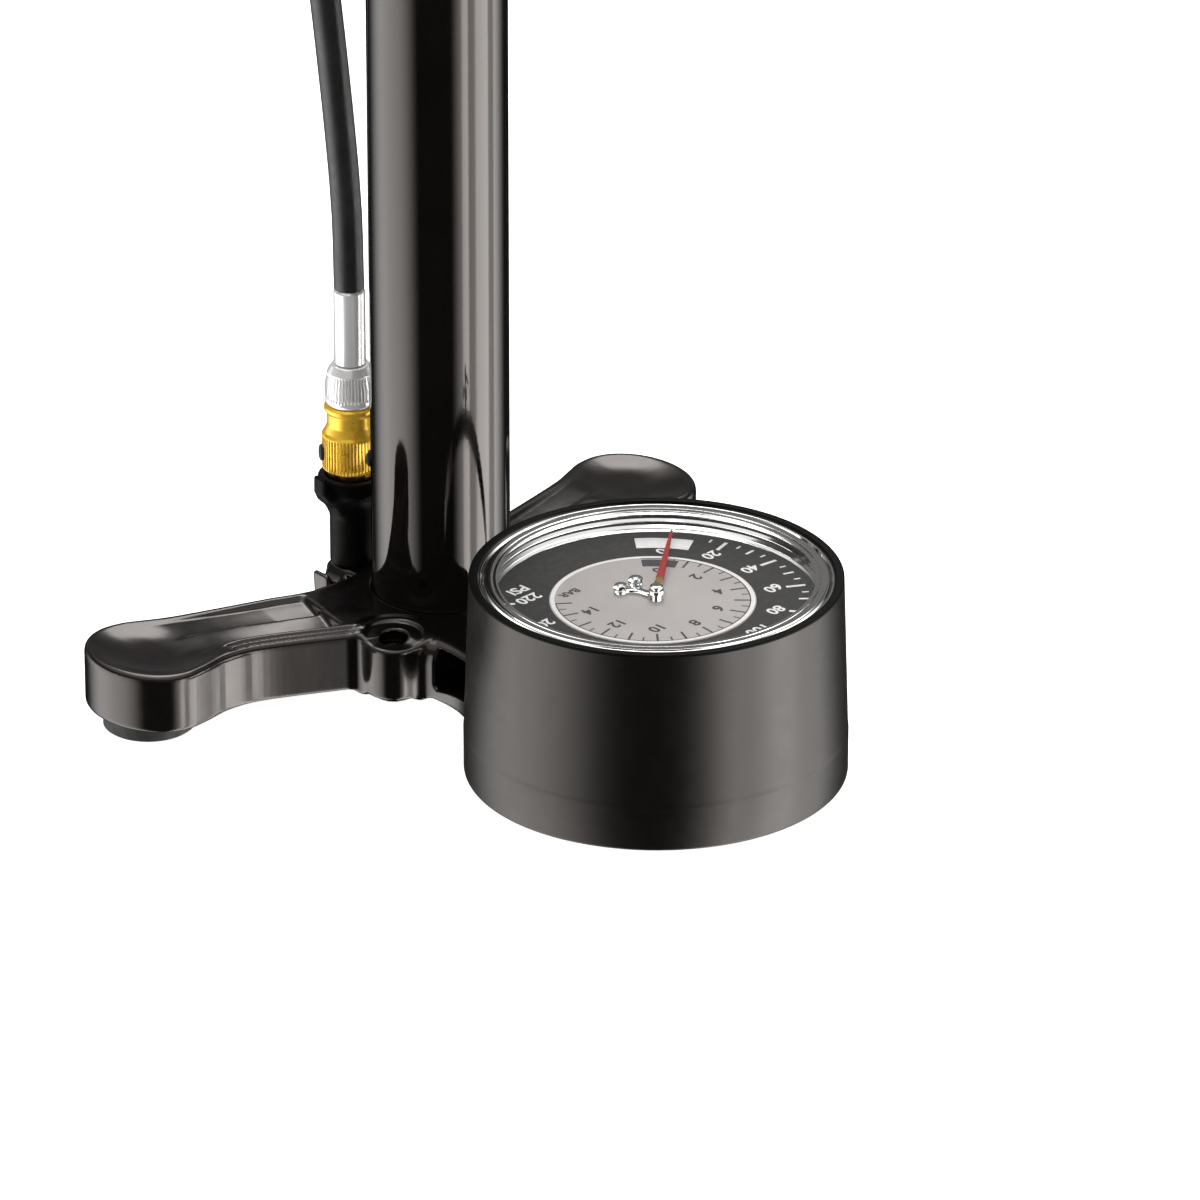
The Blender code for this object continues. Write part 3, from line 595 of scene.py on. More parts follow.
ARCH_Y, ARCH_Z, ARCH_R = 36.0, 500.0, 38.0
rise = [(22.0, 16.0, 52.3), (22.2, 16.3, 84.0), (24.0, 18.6, 150.0), (29.0, 25.0, 260.0), (34.6, 32.0, 380.0), (37.6, 35.6, 460.0), (38.0, 36.0, 500.0)]
fall = [(-38.0, 36.0, 500.0), (-37.2, 36.1, 450.0), (-31.0, 36.4, 360.0), (-20.0, 36.9, 270.0), (-8.6, 37.4, 190.0), (-1.2, 38.6, 130.0), (0.0, 38.6, 98.3)]
route = smooth_path(rise, 8.0)
route += [Vector((ARCH_R * math.cos(math.pi * i / 30), ARCH_Y, ARCH_Z + ARCH_R * math.sin(math.pi * i / 30))) for i in range(1, 30)]
route += smooth_path(fall, 8.0)
hose_points = [to_frame(p) for p in route]
hose_curve = bpy.data.curves.new("rubber_hose", "CURVE")
hose_curve.dimensions = "3D"
hose_curve.bevel_depth = 4.25 * MM
hose_curve.bevel_resolution = 8
hose_curve.use_fill_caps = True
spline = hose_curve.splines.new("POLY")
spline.points.add(len(hose_points) - 1)
for point, at in zip(spline.points, hose_points):
    point.co = (*at, 1.0)
spline.use_smooth = True
hose_curve.materials.append(HOSE)
hose = bpy.data.objects.new("rubber_hose", hose_curve)
scene.collection.objects.link(hose)
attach(hose, "pump_body")
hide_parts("hose")

# ---------------------------------------------------------------- base casting

PADDLE_X, PADDLE_Y, PADDLE_AX, PADDLE_AY = 86.7, 19.5, 15.7, 19.7
LEG_BACK = ((29.3, 20.9), (35.1, 22.5), (40.5, 24.5), (49.2, 27.0), (58.9, 29.8), (68.9, 32.9), (74.8, 35.5), (80.9, 38.3))
LEG_FRONT = ((80.0, 0.7), (74.0, 2.0), (67.0, 1.9), (60.2, 0.0), (49.8, -4.5), (38.7, -9.6))


def ellipse(cx, cy, rx, ry, start, end, count):
    return [(cx + rx * math.cos(math.radians(start + (end - start) * i / (count - 1))), cy + ry * math.sin(math.radians(start + (end - start) * i / (count - 1)))) for i in range(count)]


def flat_path(points, step=2.0):
    return [(p.x, p.y) for p in smooth_path([(x, y, 0.0) for x, y in points], step)]


leg_outline = (
    [(0.0, 20.0), (14.0, 20.6)]
    + flat_path(LEG_BACK + ((85.6, 39.2),))[:-1]
    + ellipse(PADDLE_X, PADDLE_Y, PADDLE_AX, PADDLE_AY, 94.0, -92.0, 48)
    + flat_path(((86.0, -0.2),) + LEG_FRONT + ((31.5, -12.9),))[1:]
    + [(24.0, -14.6), (0.0, -12.0)]
)
arm_outline = [(0.0, -6.0), (26.0, -8.0), (27.4, -16.0)] + flat_path(((27.2, -20.0), (26.6, -26.5), (26.2, -33.5), (27.0, -40.0), (29.5, -47.0), (33.0, -54.0), (37.0, -62.0))) + [(0.0, -62.0)]
front_line = flat_path(((90.0, -0.3),) + LEG_FRONT + ((31.5, -12.9), (22.0, -17.2)))
back_line = flat_path(((16.0, 17.2), (24.0, 19.3)) + LEG_BACK + ((88.0, 40.6),))


def plan_field(x, y):
    hub = np.hypot(x, y) - 25.0
    leg = polygon_distance(x, y, leg_outline)
    arm = polygon_distance(x, y, arm_outline)
    return smin(smin(hub, leg, 3.0), arm, 3.0)


def depth_field(x, y):
    """How far the top of a leg lies below its rim: two sloped floors with a step between them, a dished paddle, and straight ribs along the front edge."""
    leg = polygon_distance(x, y, leg_outline)
    front = line_distance(x, y, front_line)
    back = line_distance(x, y, back_line)
    out = smooth_step(64.0, 82.0, x)
    inner = (x - (33.0 + (17.6 - y) * 0.20)) * 0.97
    tray = smin(smin(front - 6.9, back - 2.2, 1.5), smin(-leg - 2.2, inner, 1.5), 1.5)
    share = front / np.maximum(front + back, 1.0)
    upper = 1.2 + 1.9 * smooth_step(0.98, 0.45, share)
    lower = 1.0 + 2.6 * smooth_step(0.63, 0.14, share)
    side = smooth_step(0.598, 0.546, share)
    floor = upper * (1.0 - side) + lower * side + 0.2
    depth = smooth_step(-0.25, 1.6, tray) * floor * np.clip((92.0 - x) / 46.0, 0.0, 1.0)
    dish = 0.31 * out * smin(smax(-leg - 1.4, np.zeros_like(leg), 1.2), np.full_like(leg, 6.6), 5.0)
    along = smooth_step(33.5, 36.0, x) * (1.0 - smooth_step(66.0, 72.0, x))
    ribs = np.maximum(1.0 - smooth_step(0.35, 0.95, np.abs(front - 2.5)), 1.0 - smooth_step(0.35, 0.95, np.abs(front - 4.9)))
    return smax(depth, dish, 0.8) + 0.8 * ribs * along


PLAN = Plane(-1.0, 106.0, -150.0, 48.0, 0.4, plan_field)
DEPTH = Plane(-1.0, 106.0, -66.0, 46.0, 0.35, depth_field)
EAR = [(5.2, 14.6), (8.6, 12.6), (10.6, 15.4), (11.8, 15.0), (11.6, 9.4), (9.0, 6.2), (0.0, 6.2), (0.0, 14.6)]
LOW_POCKET = [(40.0, 19.6), (52.0, 23.4), (66.0, 27.6), (66.0, 7.2), (52.0, 1.2), (42.0, -3.4)]
LOW = Plane(-1.0, 106.0, -66.0, 46.0, 0.5, lambda x, y: polygon_distance(x, y, LOW_POCKET))
EARS = Plane(-1.0, 20.0, 0.0, 24.0, 0.25, lambda x, z: polygon_distance(x, z, EAR))


def casting(p):
    x, y, z = np.abs(p[:, 0]), p[:, 1], p[:, 2]
    plan = PLAN(x, y)
    arm = smooth_step(-8.0, -22.0, y)
    d = smax(plan, z - (22.5 - DEPTH(x, y)), 2.2 + 5.0 * arm)
    d = smax(d, 5.5 - z, 1.4)
    r = np.hypot(x, y)
    flat = np.hypot(x - 30.0, y + 16.0)
    d = smax(d, -smax(flat - 8.6, 20.7 - z, 0.6), 0.9)
    boss = smax(smax(flat - 8.0, z - 20.5, 1.3), 5.5 - z, 1.4)
    d = smin(d, boss, 5.0)
    rg = np.hypot(x, y - GAUGE_Y)
    tray = smax(rg - 51.5, np.abs(z - 6.1) - 5.6, 0.8)
    d = smin(d, tray, 3.0)
    tongue = rounded_box(np.stack([x, y, z], 1), (-5.8, 14.0, 5.7), (5.8, 43.8, 16.2), 2.0)
    d = smin(d, tongue, 6.0)
    ears = smax(EARS(x, z), np.abs(y - CHUCK_Y) - 3.4, 1.4)
    d = smin(d, ears, 2.2)
    window = rounded_box(np.stack([x, y, z - 0.17 * np.clip(-28.0 - y, 0.0, 24.0)], 1), (14.5, -60.0, 8.8), (60.0, -28.4, 30.0), 1.6)
    window = smax(smax(window, z - 20.2, 0.8), 53.0 - rg, 1.0)
    d = smax(d, -window, 0.9)
    d = smax(d, -smax(rg - 51.75, 11.75 - z, 0.2), 0.5)
    d = smax(d, -smax(rg - 48.3, 6.0 - z, 0.4), 0.4)
    d = smax(d, -smax(rg - 47.0, z - 2.9, 0.3), 0.4)
    d = smax(d, -smax(LOW(x, y), z - 15.4, 2.0), 1.0)
    d = smax(d, -smax(r - 19.06, 15.7 - z, 0.2), 0.12)
    d = smax(d, -smax(flat - 3.7, 14.0 - z, 0.2), 0.7)
    d = smax(d, -smax(flat - 2.7, z - 15.0, 0.2), 0.4)
    nut = np.hypot(p[:, 0] - 22.0, y - 16.0)
    return smax(d, -smax(nut - 6.6, 22.6 - z, 0.2), 0.4)


CELL = 0.5
TRAY_R = 50.7


def outside_tray(p):
    return smax(casting(p), TRAY_R - np.hypot(p[:, 0], p[:, 1] - GAUGE_Y), 0.02)


def inside_tray(p):
    return smax(casting(p), np.hypot(p[:, 0], p[:, 1] - GAUGE_Y) - TRAY_R, 0.02)


v, f = net(outside_tray, (-104.5, -143.5, -0.6), (104.5, 46.0, 24.5), CELL)
place("cast_base", v, f, BLACK_CAST, nodes=("base_casting",), sharp=None, weld=False)
v, f = net(inside_tray, (-52.5, -142.5, -0.6), (52.5, -37.5, 14.5), 0.7)
place("cast_gauge_tray", v, f, BLACK_CAST, sharp=None, weld=False)


def bolt(name, x, y, node):
    """A socket screw head sunk in its boss."""
    seg = 48
    ang = np.arange(seg) * math.tau / seg
    hexed = 2.1 * math.cos(math.pi / 6) / np.cos((ang + math.pi / 6) % (math.pi / 3) - math.pi / 6)
    rows = [(2.4, 4.2), (2.4, 14.3), (3.4, 14.3), (3.4, 17.7), (3.2, 18.05), (2.9, 18.2)]
    v = [(r * math.cos(a), r * math.sin(a), z) for r, z in rows for a in ang]
    for grow, z in ((1.08, 18.2), (1.0, 17.95), (1.0, 15.8)):
        v += [(h * grow * math.cos(a), h * grow * math.sin(a), z) for a, h in zip(ang, hexed)]
    n = len(rows) + 3
    faces = [(i * seg + j, i * seg + (j + 1) % seg, (i + 1) * seg + (j + 1) % seg, (i + 1) * seg + j) for i in range(n - 1) for j in range(seg)]
    faces += [tuple(range(seg - 1, -1, -1)), tuple(range((n - 1) * seg, n * seg))]
    place(name, np.array(v) + np.array([x, y, 0.0]), faces, BOLT, nodes=(node,), sharp=30.0)


tray_rim = [(48.6, 12.0, 0.2), (51.6, 12.0, 0.0), (51.6, 0.4, 0.9), (47.0, 0.4, 0.3), (47.0, 2.9, 0.1), (48.6, 2.9, 0.1)]
turned("gauge_tray_rim", tray_rim, BLACK_SATIN, seg=256, at=(0.0, GAUGE_Y, 0.0), slot="black_satin")
bolt("socket_screw_left", -30.0, -16.0, "base_bolt_left")
bolt("socket_screw_right", 30.0, -16.0, "base_bolt_right")

for side, sign in (("left", -1.0), ("right", 1.0)):
    pad = [(0.0, 5.2), (12.6, 5.2), (12.6, 0.6), (11.8, 0.0), (10.2, 0.0), (9.9, 0.6), (9.0, 0.6), (8.7, 0.0), (6.9, 0.0), (6.6, 0.6), (5.7, 0.6), (5.4, 0.0), (0.0, 0.0)]
    turned("rubber_foot_" + side, pad, RUBBER, seg=72, radius=0.2, closed=False, at=(sign * PADDLE_X, PADDLE_Y, 0.0), nodes=("foot_pad_" + side,), slot="rubber")
foot = [(32.0, 2.6), (46.6, 2.6), (46.6, 0.5), (46.0, 0.0), (42.4, 0.0), (42.0, 0.7), (40.8, 0.7), (40.4, 0.0), (38.0, 0.0), (37.6, 0.7), (36.4, 0.7), (36.0, 0.0), (32.6, 0.0), (32.0, 0.5)]
turned("rubber_foot_gauge", foot, RUBBER, seg=128, radius=0.2, at=(0.0, GAUGE_Y, 0.0), nodes=("gauge_foot_ring",), slot="rubber")

# ---------------------------------------------------------------- dock

HORN = [(0.0, 41.4), (7.4, 41.2), (9.2, 41.2), (9.9, 42.6), (10.5, 44.2), (11.2, 44.5), (11.8, 43.9), (11.9, 39.4), (10.6, 37.2), (8.4, 35.2), (6.4, 32.6), (0.0, 30.6)]
HORNS = Plane(-1.0, 20.0, 24.0, 50.0, 0.2, lambda x, z: polygon_distance(x, z, HORN))


def dock(p):
    x, y, z = np.abs(p[:, 0]), p[:, 1] - CHUCK_Y, p[:, 2]
    r = np.hypot(x, y)
    d = smax(smax(r - 6.2, z - 40.0, 0.5), 16.3 - z, 0.5)
    cup = smax(smax(r - 8.9, z - 42.1, 0.9), 38.2 - z, 2.0)
    d = smin(d, cup, 6.0)
    d = smin(d, smax(HORNS(x, z), np.abs(y) - 3.1, 2.4), 2.6)
    d = smax(d, -smax(r - 7.2, 38.0 - z, 0.3), 0.7)
    return d


v, f = net(dock, (-13.5, CHUCK_Y - 11.0, 15.6), (13.5, CHUCK_Y + 11.0, 45.0), 0.36)
place("hose_dock", v, f, DEEP_BLACK, nodes=("chuck_dock",), sharp=None, weld=False)

# ---------------------------------------------------------------- gauge

G = (0.0, GAUGE_Y, 0.0)
can = [(47.7, 56.05, 0.0), (50.02, 56.05, 0.0), (51.45, 14.0, 0.5), (51.6, 12.8, 0.5), (51.6, 12.01, 0.0), (48.2, 12.01, 0.0), (48.2, 11.5, 0.0), (46.0, 11.5, 0.0), (46.0, 45.0, 0.0), (47.7, 45.0, 0.0)]
turned("gauge_housing", can, BLACK_SATIN, seg=256, at=G, nodes=("gauge_can",), slot="black_satin")
turned("gauge_can_rim", [(47.7, 56.8, 0.3), (50.0, 56.8, 0.6), (50.02, 56.06, 0.0), (47.7, 56.06, 0.0)], DEEP_BLACK, seg=256, at=G, slot="black_satin")
bezel = [
    (47.4, 56.05, 0.2),
    (46.8, 56.05, 0.2),
    (46.6, 55.3, 0.05),
    (46.2, 55.3, 0.05),
    (46.0, 56.0, 0.2),
    (44.95, 55.9, 0.15),
    (44.6, 55.3, 0.05),
    (44.6, 54.7, 0.05),
    (43.75, 54.6, 0.1),
    (43.7, 54.25, 0.1),
    (44.5, 54.15, 0.05),
    (44.5, 53.05, 0.05),
    (43.8, 52.45, 0.08),
    (43.75, 52.25, 0.08),
    (44.5, 52.15, 0.05),
    (44.5, 51.15, 0.05),
    (43.6, 50.5, 0.08),
    (43.55, 50.3, 0.08),
    (44.2, 50.2, 0.05),
    (44.2, 49.85, 0.05),
    (43.1, 49.5, 0.05),
    (47.4, 49.5, 0.1),
]
turned("gauge_bezel", bezel, BEZEL, seg=256, at=G, nodes=("bezel_ring",), slot="chrome", steps=3)
# Dark rings in the bezel's grooves are painted shadow. They stand for the shade under each lip of the stepped bezel and
# in its top groove.
for tag, r0, r1, z0, z1 in (("a", 44.42, 44.56, 53.08, 54.1), ("b", 44.42, 44.56, 51.18, 52.1), ("c", 44.12, 44.26, 49.87, 50.16), ("d", 46.22, 46.58, 55.2, 55.36)):
    turned("bezel_shade_ring_" + tag, [(r0, z0), (r1, z0), (r1, z1), (r0, z1)], DIAL_DARK, seg=256, radius=0.03, at=G, slot="dial_dark")
for tag, lip in (("a", [(43.8, 56.03), (45.6, 55.9), (45.6, 56.35), (43.8, 56.3)]), ("b", [(42.3, 56.02), (43.5, 56.02), (43.5, 56.25), (42.3, 56.2)])):
    turned("bezel_lip_" + tag, lip, BEZEL, seg=256, radius=0.06, at=G, slot="chrome")
lens = [(0.0, 56.0), (43.7, 55.95), (44.25, 55.5), (44.25, 55.0), (43.9, 54.8), (0.0, 54.8)]
turned("gauge_glass", lens, LENS, seg=192, radius=0.2, closed=False, at=G, nodes=("gauge_lens",), slot="lens")
# the printed face sits a little off the needle axis
PRINT_AT = np.array(G) - 0.95 * RIGHT
dial = [(1.8, DIAL_Z), (46.4, DIAL_Z), (46.4, DIAL_Z - 1.2), (1.8, DIAL_Z - 1.2)]
turned("dial_face", dial, DIAL_DARK, seg=192, radius=0.1, at=G, nodes=("dial_plate",), slot="dial_dark")
disc = [(2.6, DIAL_Z + 0.4), (27.6, DIAL_Z + 0.4), (27.6, DIAL_Z + 0.05), (2.6, DIAL_Z + 0.05)]
turned("dial_centre", disc, DIAL_LIGHT, seg=160, radius=0.12, at=tuple(PRINT_AT), nodes=("dial_inner_disc",), slot="dial_light")

ZERO, PER_PSI, PER_BAR = 44.7, 1.191, 17.27
PRINT = 0.03


def at_angle(r, deg):
    a = math.radians(deg)
    return (r * math.cos(a), r * math.sin(a))


def tick(deg, r0, r1, width, z):
    a = math.radians(deg)
    c, s = math.cos(a), math.sin(a)
    o = [(r0, -width / 2), (r1, -width / 2), (r1, width / 2), (r0, width / 2)]
    return prism([(x * c - y * s, x * s + y * c) for x, y in o], z, z + PRINT)


def sector(deg, spread0, spread1, r0, r1, z, count=10):
    o = [at_angle(r1, deg - spread1 + 2 * spread1 * i / count) for i in range(count + 1)]
    o += [at_angle(r0, deg + spread0 - 2 * spread0 * i / count) for i in range(count + 1)]
    return prism(o, z, z + PRINT)


def hoop(r0, r1, z, seg=160):
    return lathe([(r0, z), (r1, z), (r1, z + PRINT), (r0, z + PRINT)], seg)


def arc_line(start, end, r0, r1, z, count=120):
    """A thin printed arc between two angles."""
    o = [at_angle(r1, start + (end - start) * i / count) for i in range(count + 1)]
    i = [at_angle(r0, start + (end - start) * i / count) for i in range(count + 1)]
    n = count + 1
    v = [(x, y, h) for h in (z, z + PRINT) for x, y in o + i]
    f = []
    for k in range(count):
        a, b, c, d = k, k + 1, n + k + 1, n + k
        f += [(a, d, c, b), (a + 2 * n, b + 2 * n, c + 2 * n, d + 2 * n), (a, b, b + 2 * n, a + 2 * n), (d, d + 2 * n, c + 2 * n, c)]
    f += [(0, 2 * n, 3 * n, n), (n - 1, 2 * n - 1, 4 * n - 1, 3 * n - 1)]
    return np.array(v, float), f


TEXT_TURN = math.radians(-175.4)


def lettering(text, size, x, y, z, turn=TEXT_TURN, bold=0.0):
    """Plain upright figures as a thin raised print."""
    data = bpy.data.curves.new("figures", "FONT")
    data.body = text
    data.size = size
    data.align_x = "CENTER"
    data.align_y = "CENTER"
    data.extrude = PRINT / 2
    data.offset = bold
    data.resolution_u = 4
    obj = bpy.data.objects.new("figures", data)
    scene.collection.objects.link(obj)
    bpy.context.view_layer.update()
    mesh = bpy.data.meshes.new_from_object(obj.evaluated_get(bpy.context.evaluated_depsgraph_get()))
    v = np.array([p.co for p in mesh.vertices], float).reshape(-1, 3)
    faces = [tuple(p.vertices) for p in mesh.polygons]
    bpy.data.objects.remove(obj, do_unlink=True)
    bpy.data.meshes.remove(mesh)
    bpy.data.curves.remove(data)
    low, high = v.min(0), v.max(0)
    v[:, :2] -= (low[:2] + high[:2]) / 2
    c, s = math.cos(turn), math.sin(turn)
    return np.stack([v[:, 0] * c - v[:, 1] * s + x, v[:, 0] * s + v[:, 1] * c + y, v[:, 2] - low[2] + z], 1), faces


ZD, ZL = DIAL_Z + 0.01, DIAL_Z + 0.41
white = [sector(ZERO, 12.0, 11.6, 33.6, 40.0, ZD)]
for psi in range(15, 221, 5):
    deg = ZERO - PER_PSI * psi
    if psi % 20 == 0:
        white.append(tick(deg, 36.7, 42.0, 1.0, ZD))
    elif psi % 10 == 0:
        white.append(tick(deg, 38.9, 42.0, 0.8, ZD))
    else:
        white.append(tick(deg, 40.2, 42.0, 0.62, ZD))
for psi in range(0, 221, 20):
    deg = ZERO - PER_PSI * psi
    x, y = at_angle(31.4 if psi == 0 else 33.1, deg - (5.6 if psi == 220 else 0.0))
    white.append(lettering(str(psi), 5.1, x, y, ZD, bold=0.12))
x, y = at_angle(36.5, 129.2)
white.append(lettering("PSI", 5.2, x, y, ZD, bold=0.12))
v, f = joined(*white)
place("dial_print_light", v + PRINT_AT, f, WHITE_INK, sharp=30.0)
v, f = hoop(26.2, 27.3, ZL)
place("dial_centre_border", v + PRINT_AT, f, WHITE_INK, sharp=30.0)

LAST = ZERO - 15.0 * PER_BAR
dark = [sector(ZERO, 12.0, 11.6, 20.9, 25.2, ZL), arc_line(ZERO + 11.6, LAST, 25.85, 26.15, ZL)]
for i in range(1, 31):
    deg = ZERO - PER_BAR * i * 0.5
    if i % 2 == 0:
        dark.append(tick(deg, 21.6, 25.95, 0.6, ZL))
    else:
        dark.append(tick(deg, 23.9, 25.95, 0.42, ZL))
for bar in range(0, 15, 2):
    x, y = at_angle(18.3, ZERO - PER_BAR * bar)
    dark.append(lettering(str(bar), 4.9, x, y, ZL, bold=0.13))
x, y = at_angle(22.6, 129.6)
dark.append(lettering("BAR", 3.6, x, y, ZL, bold=0.1))
v, f = joined(*dark)
place("dial_print_dark", v + PRINT_AT, f, BLACK_INK, sharp=30.0)

turned("gauge_movement_plate", [(3.6, 45.3), (44.6, 45.3), (45.2, 45.9), (47.3, 45.9), (47.3, DIAL_Z - 1.5), (3.6, DIAL_Z - 1.5)], STEEL, seg=128, radius=0.2, at=G, nodes=("movement_plate",))

turned("movement_stem", [(0.0, 40.0), (6.0, 40.0), (6.0, 36.0), (5.0, 36.0), (5.0, 12.4), (9.0, 12.4), (9.0, 6.3), (4.0, 6.3), (4.0, 1.2), (1.5, 1.2), (1.5, 30.0), (0.0, 30.0)], BRASS, seg=72, radius=0.25, closed=False, at=G, nodes=("gauge_stem",), slot="brass")


def nut_flats(ang, r, z):
    flat = 6.6 / np.cos((ang + math.pi / 6) % (math.pi / 3) - math.pi / 6)
    return np.where(r > 6.0, np.minimum(flat, r) - r, 0.0)


turned("movement_stem_nut", [(4.3, 2.6), (7.6, 2.6), (7.6, 1.0), (4.3, 1.0)], BRASS, seg=96, radius=0.2, mod=nut_flats, at=G, nodes=("stem_nut",), slot="brass")


def drawn_tube(name, keys, radius, step, node, mat=BRASS):
    """A round tube along a smooth path, closed at both ends."""
    path = np.array([tuple(q) for q in smooth_path(keys, step)])
    along = np.gradient(path, axis=0)
    along /= np.linalg.norm(along, axis=1, keepdims=True)
    across = np.cross(along, (0.0, 0.0, 1.0))
    across /= np.linalg.norm(across, axis=1, keepdims=True)
    over = np.cross(across, along)
    n, m = len(path), 20
    v = [path[i] + radius * (math.cos(math.tau * j / m) * across[i] + math.sin(math.tau * j / m) * over[i]) for i in range(n) for j in range(m)]
    f = [(i * m + j, i * m + (j + 1) % m, (i + 1) * m + (j + 1) % m, (i + 1) * m + j) for i in range(n - 1) for j in range(m)]
    f += [tuple(range(m - 1, -1, -1)), tuple(range((n - 1) * m, n * m))]
    place(name, np.array(v), f, mat, nodes=(node,), sharp=40.0)


coil = []
for i in range(37):
    reach = min(1.0, i / 8.0)
    r = 7.0 + 8.0 * reach * reach * (3.0 - 2.0 * reach)
    coil.append((r * math.cos(math.tau * i / 11.0), GAUGE_Y + r * math.sin(math.tau * i / 11.0), 17.0 + 0.5 * i))
drawn_tube("movement_coil", coil, 1.3, 1.2, "bourdon_coil")
drawn_tube("movement_air_tube", [(0.0, -9.0, 9.6), (0.0, -40.0, 9.6), (0.0, -80.5, 9.6)], 1.6, 4.0, "gauge_air_tube")

# the spring is wound short, so that the poppet has room for its whole lift
wound = [(3.2 * math.cos(math.tau * i / 9.0), 3.2 * math.sin(math.tau * i / 9.0), 6.15 + 2.3 * i / 20.0) for i in range(21)]
drawn_tube("valve_spring", wound, 0.36, 0.6, "check_valve_spring", STEEL)

# needle, hub and bridge
turned("dial_bushing", [(1.62, DIAL_Z + 0.06), (3.9, DIAL_Z + 0.06), (3.9, DIAL_Z + 0.42), (1.62, DIAL_Z + 0.42)], DIAL_LIGHT, seg=72, radius=0.02, at=G, slot="dial_light")
AIM = math.radians(43.0)


def aimed(outline, angle=AIM):
    c, s = math.cos(angle), math.sin(angle)
    return [(x * c - y * s, x * s + y * c) for x, y in outline]


blade = [(39.2, 0.0), (38.6, 0.32), (12.0, 0.98), (8.0, 1.08), (8.0, -1.08), (12.0, -0.98), (38.6, -0.32)]
v, f = prism(aimed(blade), DIAL_Z + 2.4, DIAL_Z + 3.0)
place("needle_blade", v + np.array(G), f, RED, "needle", ("gauge_needle",), sharp=30.0)
root = [(8.4, 0.9), (8.4, -0.9), (1.2, -1.35), (1.2, 1.35)]
v, f = prism(aimed(root), DIAL_Z + 2.3, DIAL_Z + 3.1)
place("needle_root", v + np.array(G), f, BRASS, "needle", sharp=30.0)
cap = [(0.0, DIAL_Z + 4.75), (1.3, DIAL_Z + 4.75, 0.25), (1.75, DIAL_Z + 4.4, 0.2), (1.75, DIAL_Z + 3.85, 0.2), (1.15, DIAL_Z + 3.7, 0.1), (1.15, DIAL_Z + 3.45, 0.1), (2.05, DIAL_Z + 3.3, 0.2), (2.05, DIAL_Z + 2.2, 0.2), (0.0, DIAL_Z + 2.2)]
turned("needle_cap", cap, CHROME, seg=64, radius=0.2, closed=False, at=G, body="needle", nodes=("needle_hub",), slot="chrome")


tips = [at_angle(10.0, 83.0), at_angle(10.2, 117.5)]
FORK = at_angle(6.3, 101.0)
BARS = [(at_angle(2.7, 101.0), FORK, 0.95), (FORK, tips[0], 0.85), (FORK, tips[1], 0.85)]


def linkage(p):
    """A forked bar from the needle's post to the two screws, with a round eye under each head."""
    x, y, z = p[:, 0], p[:, 1], p[:, 2]
    flat = None
    for (ax, ay), (bx, by), r in BARS:
        ex, ey = bx - ax, by - ay
        t = np.clip(((x - ax) * ex + (y - ay) * ey) / (ex * ex + ey * ey), 0.0, 1.0)
        d = np.hypot(x - ax - t * ex, y - ay - t * ey) - r
        flat = d if flat is None else smin(flat, d, 0.8)
    for tx, ty in tips:
        flat = smin(flat, np.hypot(x - tx, y - ty) - 1.9, 0.6)
    return smax(flat, np.abs(z - DIAL_Z - 1.35) - 0.4, 0.3)


v, f = net(linkage, (-9.0, 0.0, DIAL_Z + 0.6), (5.0, 14.0, DIAL_Z + 2.1), 0.2)
place("dial_bridge_plate", v + np.array(G), f, CHROME, nodes=("dial_bridge",), sharp=None, weld=False)


def hex_head(ang, r, z):
    flat = 1.7 / np.cos((ang + math.pi / 6) % (math.pi / 3) - math.pi / 6)
    return np.where(r > 1.7, np.minimum(flat, r) - r, 0.0)


for tag, (tx, ty) in zip(("inner", "outer"), tips):
    head = [(0.0, DIAL_Z + 3.3), (0.75, DIAL_Z + 3.3), (0.9, DIAL_Z + 3.1), (1.6, DIAL_Z + 3.05), (1.95, DIAL_Z + 2.75), (1.95, DIAL_Z + 2.2), (1.4, DIAL_Z + 2.05), (1.4, DIAL_Z + 0.45), (0.0, DIAL_Z + 0.45)]
    turned("bridge_screw_head_" + tag, head, CHROME, seg=72, radius=0.08, closed=False, mod=hex_head, at=(tx, GAUGE_Y + ty, 0.0), nodes=("bridge_screw_" + tag,), slot="chrome", sharp=25.0)

# ---------------------------------------------------------------- barrel, cap and hook

turned("gloss_barrel", [(17.2, 545.0), (19.0, 545.0), (19.0, 16.0), (17.2, 16.0)], BLACK_GLOSS, seg=192, radius=0.3, nodes=("barrel_tube",), slot="black_paint")


def flutes(count, depth, z0, z1, r_min):
    def mod(ang, r, z):
        band = smooth_step(z0 - 1.2, z0 + 1.2, z) * (1.0 - smooth_step(z1 - 1.2, z1 + 1.2, z)) * (r > r_min)
        wave = 0.5 - 0.5 * np.cos(ang * count)
        return -depth * band * (1.0 - wave) ** 2

    return mod


cap = fillet([(7.6, 556.0, 0.3), (20.5, 556.0, 0.8), (22.5, 554.0, 1.0), (22.5, 541.0, 0.3), (22.1, 540.6, 0.2), (22.1, 539.6, 0.2), (22.5, 539.2, 0.3), (22.5, 518.0, 0.6), (19.3, 518.0, 0.2), (19.3, 545.3, 0.2), (9.4, 545.3, 0.0), (9.4, 553.0, 0.0), (7.6, 553.0, 0.0)], 0.3)
v, f = lathe(dense(cap + [cap[0]], 541.0, 553.0, 0.8)[:-1], 240, mod=flutes(30, 0.55, 542.6, 551.6, 22.0))
place("barrel_top_cap", v, f, CAP_SATIN, nodes=("barrel_cap",))
turned("wiper_seal", [(6.3, 557.0), (6.9, 557.0), (7.3, 556.0), (7.3, 553.0), (6.3, 553.0)], RUBBER, seg=72, radius=0.15, nodes=("rod_wiper",), slot="rubber")


